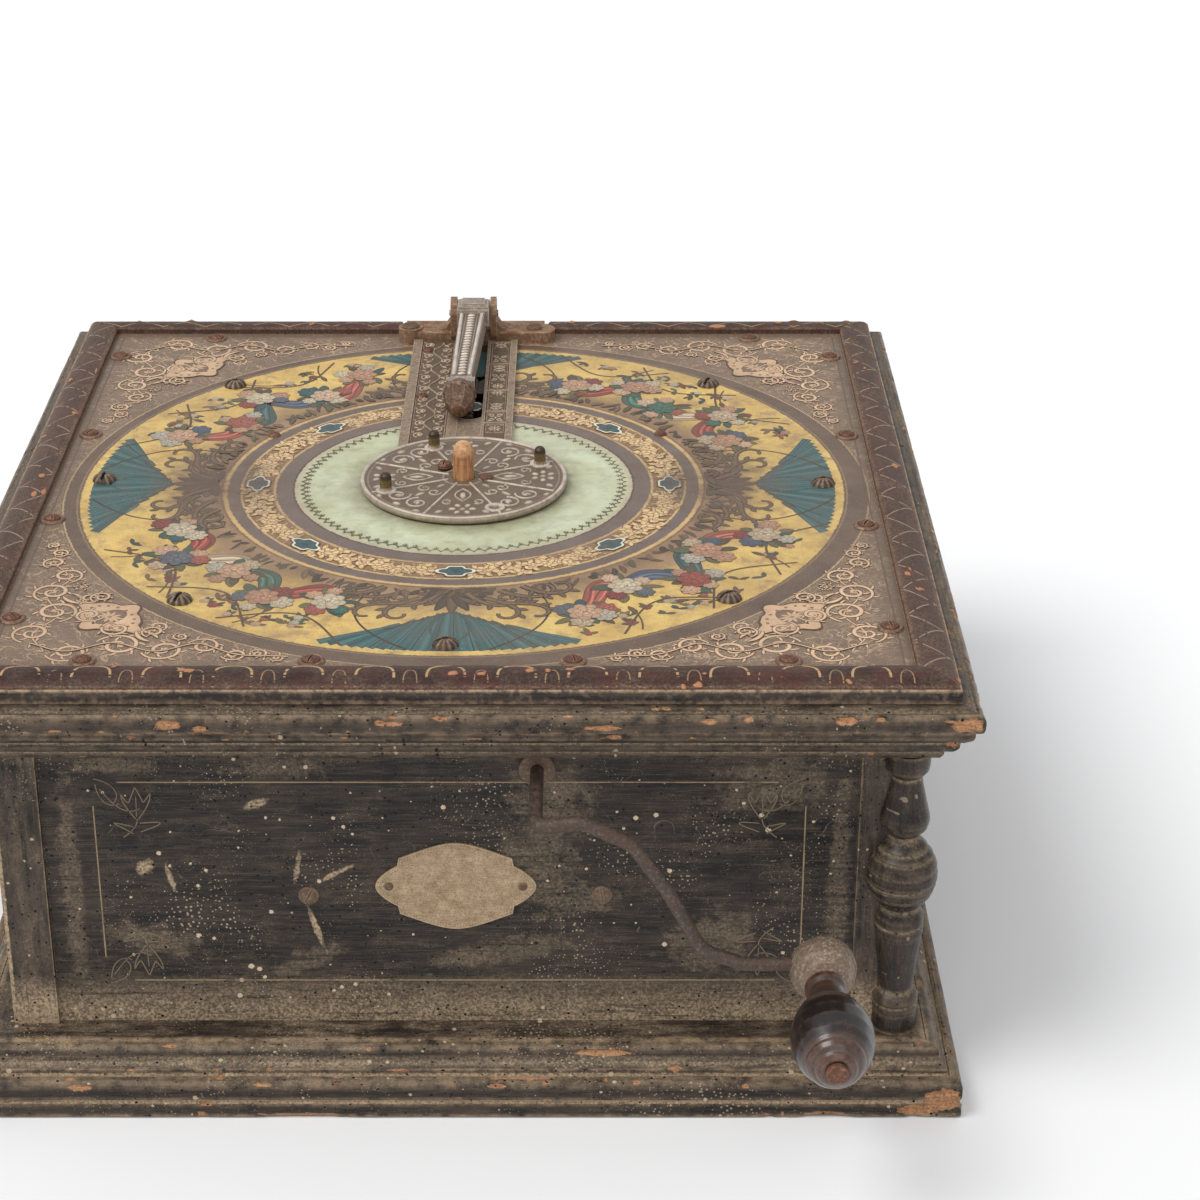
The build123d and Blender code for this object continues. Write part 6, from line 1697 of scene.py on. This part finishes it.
# ------------------------------------------------------------------ thin gold drawing on the case
def build_gilding():
    g = Ornament(lambda u, v, h: (u, -(CB - 2.0) - h, v), lift=0.0015)
    c = lin(150, 128, 96)
    c2 = lin(176, 152, 112)

    def wobbly(a, b, n=60, w=0.32):
        t = np.linspace(0, 1, n)
        x = a[0] + (b[0] - a[0]) * t
        z = a[1] + (b[1] - a[1]) * t
        ww = np.array([w * (0.75 + 0.5 * abs(mnoise.noise(Vector((q * 7.0 + a[0], a[1], 2.0))))) for q in t])
        g.ribbon(np.stack([x, z], 1), ww, c, h=0.02)
    wobbly((-130, 139.7), (129, 139.7))
    wobbly((-129, 47.8), (130, 47.8))
    wobbly((-140, 59), (-140, 129))
    wobbly((140, 59), (140, 129))

    c3 = lin(122, 106, 84)

    def corner(sx, sz):
        def T(u, v):            # u towards the middle, v away from the top or bottom line, along the diagonal frame
            return (sx * (140 - u), (139.7 - v) if sz > 0 else (47.8 + v))

        def line(pts, w=0.22):
            g.ribbon([T(*p) for p in pts], w, c3, h=0.024)
        q = np.linspace(0, 1, 22)
        cx, cv = 17.0, 10.5
        # cup
        line([(cx - 5.2 * math.sin(PI * t * 0.5) - 0.6, cv + 6.0 - 11.5 * t) for t in q])
        line([(cx + 5.2 * math.sin(PI * t * 0.5) + 0.6, cv + 6.0 - 11.5 * t) for t in q])
        # three pointed tips
        line([(cx - 5.8 + 2.9 * t, cv - 5.5 + 4.2 * math.sin(PI * t * 0.5)) for t in q])
        line([(cx - 2.9 + 2.9 * t, cv - 1.3 - 7.0 * t) for t in q])
        line([(cx + 2.9 * t, cv - 8.3 + 7.0 * t) for t in q])
        line([(cx + 2.9 + 2.9 * t, cv - 1.3 - 4.2 * t) for t in q])
        line([(cx - 0.2 + 0.3 * t, cv + 5.0 - 9.0 * t) for t in q], 0.16)
        # stem, leaves and a tendril that runs into the corner
        line([(cx - 6.0 * t * t, cv + 6.0 + 8.5 * t) for t in q])
        line([(cx - 2.0 - 8.5 * math.sin(PI * t) * (1 - 0.3 * t), cv + 9.5 + 3.2 * t - 6.0 * math.sin(PI * t) * 0.5) for t in q])
        line([(cx + 1.0 + 8.0 * math.sin(PI * t), cv + 8.0 + 4.0 * t - 4.0 * math.sin(PI * t) * 0.5) for t in q])
        pts, th = clothoid((3.0, 3.0), 0.9, 20, 0.03, -0.22, 1.2, 40)
        line(list(pts), 0.2)
        pts, th = clothoid((1.5, 1.0), 1.45, 15, -0.02, -0.30, 1.3, 40)
        line(list(pts), 0.2)
        pts, th = clothoid((1.0, -1.5), 0.25, 16, 0.03, 0.28, 1.3, 40)
        line(list(pts), 0.2)
    for sx in (-1, 1):
        for sz in (-1, 1):
            corner(sx, sz)
    g.make('panel_gilding', M_GILT)

    # raised edge strips: arches at the front, crossing lines at the back, chevrons at the sides
    def strip_z(a):
        prof = [(180.4, 192.4), (181.0, 192.9), (182.4, 193.3), (184.6, 193.6), (187.4, 193.5), (190.0, 193.0), (192.2, 192.2), (193.9, 191.3), (195.0, 190.4)]
        return float(np.interp(a, [p[0] for p in prof], [p[1] for p in prof]))

    def put(side):
        def f_(s, a, h):
            z = strip_z(a) + h + 0.09
            a = a + 0.06 * max(0.0, (a - 186.0) / 9.0)
            if side == 'front':
                return (s, -(a + DEEP), z)
            if side == 'back':
                return (s, a + DEEP, z)
            if side == 'left':
                return (-a, s, z)
            return (a, s, z)
        return f_
    gf = Ornament(put('front'), lift=0.0012)
    cg = lin(186, 154, 112)
    k = -7
    while k <= 7:
        c0 = k * 26.9 + 0.5
        t = np.linspace(0, 1, 40)
        if abs(c0) < 188:
            x = c0 - 7.3 * np.cos(PI * t)
            a = 194.6 - 12.4 * np.sin(PI * t) ** 0.42
            gf.ribbon(np.stack([x, a], 1)[::-1], 0.5, cg, h=0.02)
            x = c0 + 13.45 - 2.6 * np.cos(PI * t)
            a = 194.6 - 8.5 * np.sin(PI * t) ** 0.6
            gf.ribbon(np.stack([x, a], 1)[::-1], 0.26, tuple(v * 0.6 for v in cg), h=0.02)
        k += 1
    gf.ribbon([(s, 181.3) for s in np.linspace(-181, 181, 120)], 0.22, tuple(v * 0.7 for v in cg), h=0.02)
    gf.make('front_edge_lines', M_GILT_S)
    gb = Ornament(put('back'), lift=0.0012)
    for x0, x1 in ((-190, -40), (37.5, 190)):
        for ph in (0.0, PI):
            s = np.linspace(x0, x1, 260)
            tri = 2 / PI * np.arcsin(np.sin(s / 42.0 * 2 * PI + ph))
            gb.ribbon(np.stack([s, 187.6 + 5.6 * tri], 1)[::-1], 0.42, lin(150, 122, 90), h=0.02)
    gb.make('back_edge_lines', M_GILT_S)
    for side in ('left', 'right'):
        gs = Ornament(put(side), lift=0.0012)
        cc = lin(150, 132, 112)
        for s0 in np.arange(-176, 180, 23.5):
            for d in (-1, 1):
                t = np.linspace(0, 1, 24)
                s = s0 + d * 11.0 * (1 - t) ** 1.3
                a = 181.6 + 12.4 * t
                L = np.stack([s, a], 1)
                gs.ribbon(L if side == 'right' else L, 0.36, cc, h=0.02)
        gs.make(side + '_edge_lines', M_GILT_S)


build_gilding()


# ------------------------------------------------------------------ the remaining CAD pieces keep their shape and get their surfaces
def mat_pine():
    t = Tree('bare_softwood')
    g = t.noise(0.5, 5, 0.6, t.stretch(0.06, 1, 1))
    w = t.wave(0.22, 5.0, t.stretch(0.12, 1, 1), 'Y')
    f_ = t.noise(2.0, 4, 0.7, t.stretch(0.2, 1, 1))
    m_ = t.noise(0.06, 4, 0.6)
    col = t.mix(t.rng(w, 0.2, 0.9), lin(186, 148, 104), lin(150, 108, 70))
    col = t.mix(t.rng(g, 0.45, 0.75) * 0.6, col, lin(126, 86, 54))
    col = t.mix(t.rng(m_, 0.45, 0.7) * 0.5, col, lin(104, 84, 64))
    col = t.mix(t.bevel(1.2) * 0.5, col, lin(212, 182, 142))
    return t.done(col, 0.75, 0.0, t.bump(g * 0.5 + f_ * 0.4, 0.5, 0.3), spec=0.3)


def mat_cloth():
    t = Tree('bellows_cloth')
    wv = t.wave(1.4, 0.4, None, 'X')
    wv2 = t.wave(1.4, 0.4, None, 'Z')
    n = t.noise(0.15, 5, 0.65)
    col = t.mix(t.rng(n, 0.35, 0.7), lin(120, 106, 84), lin(84, 72, 58))
    col = t.mix(t.rng(wv * wv2, 0.2, 0.8) * 0.4, col, lin(150, 134, 108))
    return t.done(col, 0.9, 0.0, t.bump(wv + wv2, 0.3, 0.12), spec=0.2, sheen=0.15)


def mat_felt():
    t = Tree('worn_felt')
    n = t.noise(1.6, 6, 0.8)
    m_ = t.noise(0.2, 4, 0.6)
    col = t.mix(t.rng(n, 0.35, 0.7), lin(86, 76, 62), lin(58, 50, 42))
    col = t.mix(t.rng(m_, 0.5, 0.7) * 0.5, col, lin(118, 102, 82))
    return t.done(col, 0.95, 0.0, t.bump(n, 0.5, 0.3), spec=0.15, sheen=0.2)


M_PINE, M_CLOTH, M_FELT = mat_pine(), mat_cloth(), mat_felt()
M_COP = metal('copper_rust', lin(66, 42, 32), lin(112, 76, 58), lin(168, 128, 104), attrs=False, rust=0.5, rust_col=(106, 64, 44), metallic=0.45, rough=0.5, white=0.1)
M_IRN = metal('oxidised_iron', lin(64, 50, 40), lin(108, 88, 70), lin(156, 136, 116), attrs=False, rust=0.5, rust_col=(118, 76, 48), metallic=0.4, rough=0.55)
M_RUST = metal('rusted_crank', lin(48, 38, 33), lin(86, 72, 64), lin(138, 120, 104), attrs=False, rust=0.6, rust_col=(96, 72, 56), metallic=0.35, rough=0.5, bump=0.9)
M_STL = metal('dull_plating', lin(98, 88, 76), lin(158, 148, 134), lin(214, 206, 194), attrs=False, rust=0.25, metallic=0.7, rough=0.35)
M_BRS = metal('dull_brass', lin(88, 68, 42), lin(146, 120, 78), lin(196, 170, 118), attrs=False, rust=0.3, rust_col=(96, 74, 48), metallic=0.65, rough=0.42)
M_WSH = metal('cup_washers', lin(70, 50, 40), lin(122, 94, 76), lin(182, 154, 130), attrs=False, rust=0.45, rust_col=(112, 70, 50), metallic=0.45, rough=0.48)
M_DIRON = metal('dark_iron', lin(36, 32, 30), lin(62, 56, 52), lin(104, 96, 90), attrs=False, rust=0.3, metallic=0.5, rough=0.5)
M_BUSH = metal('rusty_bush', lin(62, 48, 40), lin(108, 88, 74), lin(164, 142, 122), attrs=False, rust=0.5, rust_col=(114, 82, 62), metallic=0.35, rough=0.6)


def mat_pin():
    t = Tree('drive_pin_brass')
    x, y, z = t.sep(t.pos())
    n = t.noise(0.9, 5, 0.7)
    col = t.mix(t.rng(n, 0.35, 0.65), lin(140, 118, 78), lin(98, 80, 54))
    col = t.mix(t.rng(z, 198.2, 199.4), col, lin(70, 58, 46))
    col = t.mix(t.rng(z, 195.6, 194.0) * t.rng(n, 0.35, 0.55), col, lin(220, 208, 188))
    return t.done(col, 0.42, 0.5, t.bump(n, 0.3, 0.15), spec=0.5)


SLOT_MAT = {'pine_inside': M_PINE, 'copper_screws': M_COP, 'iron_screws': M_IRN, 'plated_steel': M_STL, 'brass': M_BRS, 'iron': M_DIRON,
            'rusty_iron': M_RUST, 'felt': M_FELT, 'bellows_cloth': M_CLOTH, 'worn_brass': M_PLATE, 'cast_metal': M_KPF}
NODE_MAT = {'front_panel': M_EB_F, 'back_panel': M_EB_F, 'side_panels': M_EB_S, 'corner_posts': M_EB_V, 'edge_washers': M_WSH,
            'crank_bush': M_BUSH, 'knob_pin': M_COP, 'drive_pins': mat_pin(), 'arm_bracket': M_BRK, 'pressure_arm': M_ARM, 'keyframe_plate': M_KPF,
            'nameplate': M_PLATE, 'top_board': M_PRINT}
GROUPS = {
    'pine_inside': 'bottom_board rear_bearing front_connecting_rod rear_connecting_rod wind_board front_feeder_board rear_feeder_board reservoir_board wind_trunk reed_pan pallets',
    'copper_screws': 'edge_screws small_screws turntable_screws', 'iron_screws': 'panel_screws nameplate_nails bracket_screws',
    'plated_steel': 'arm_hinge_pin spindle knob_pin reservoir_springs lever_axle lever_springs', 'brass': 'spindle_bush worm_wheel reeds',
    'iron': 'spindle_hanger crankshaft worm key_levers', 'rusty_iron': 'crank_rod', 'felt': 'arm_felt',
    'bellows_cloth': 'front_feeder_cloth rear_feeder_cloth reservoir_cloth'}
for s_, names in GROUPS.items():
    for n_ in names.split():
        NODE_MAT.setdefault(n_, SLOT_MAT[s_])
for n_, o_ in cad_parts.items():
    mt = NODE_MAT.get(n_)
    if mt is None:
        mt = M_DIRON
    o_.data.materials.clear()
    o_.data.materials.append(mt)


# ------------------------------------------------------------------ studio
def studio():
    sc = bpy.context.scene
    w = bpy.data.worlds.new('studio')
    sc.world = w
    w.use_nodes = True
    bg = w.node_tree.nodes['Background']
    bg.inputs['Color'].default_value = (*lin(250, 251, 253), 1.0)
    bg.inputs['Strength'].default_value = 0.66
    t = Tree('floor_paper')
    x, y, z = t.sep(t.pos())
    n = t.noise(0.004, 3, 0.5)
    col = t.mix(t.rng(n, 0.3, 0.7), (0.935, 0.935, 0.938), (0.925, 0.925, 0.928))
    col = t.mix(t.rng(y, -500, 900, smooth=True), (0.93, 0.93, 0.933), col)
    mt = t.done(col, 0.9, 0.0, None, spec=0.05)
    me = bpy.data.meshes.new('floor')
    s = 9.0
    me.from_pydata([(-s, -s, 0), (s, -s, 0), (s, s * 1.3, 0), (-s, s * 1.3, 0)], [], [(0, 1, 2, 3)])
    me.materials.append(mt)
    fl = bpy.data.objects.new('floor', me)
    sc.collection.objects.link(fl)
    fl.location.z = -0.0004

    def sun(name, direction, energy, angle, col=(1, 1, 1)):
        L = bpy.data.lights.new(name, 'SUN')
        L.energy = energy
        L.angle = math.radians(angle)
        L.color = col
        o = bpy.data.objects.new(name, L)
        sc.collection.objects.link(o)
        o.rotation_euler = Vector(direction).to_track_quat('-Z', 'Y').to_euler()
        return o
    sun('key', (0.62, 0.34, -1.0), 1.52, 30, (1.0, 0.995, 0.985))
    sun('front_fill', (-0.10, 0.80, -0.70), 0.45, 50)
    cam = bpy.data.cameras.new('camera')
    cam.lens, cam.sensor_width, cam.shift_x, cam.shift_y = 84.40, 36.0, 0.01205, 0.0
    cam.clip_start, cam.clip_end = 0.05, 60.0
    co = bpy.data.objects.new('camera', cam)
    sc.collection.objects.link(co)
    co.location = (0.05347, -1.13965, 0.68354)
    co.rotation_euler = (math.pi / 2 - 0.4512, 0, 0)
    sc.camera = co
    sc.view_settings.view_transform = 'Standard'


studio()
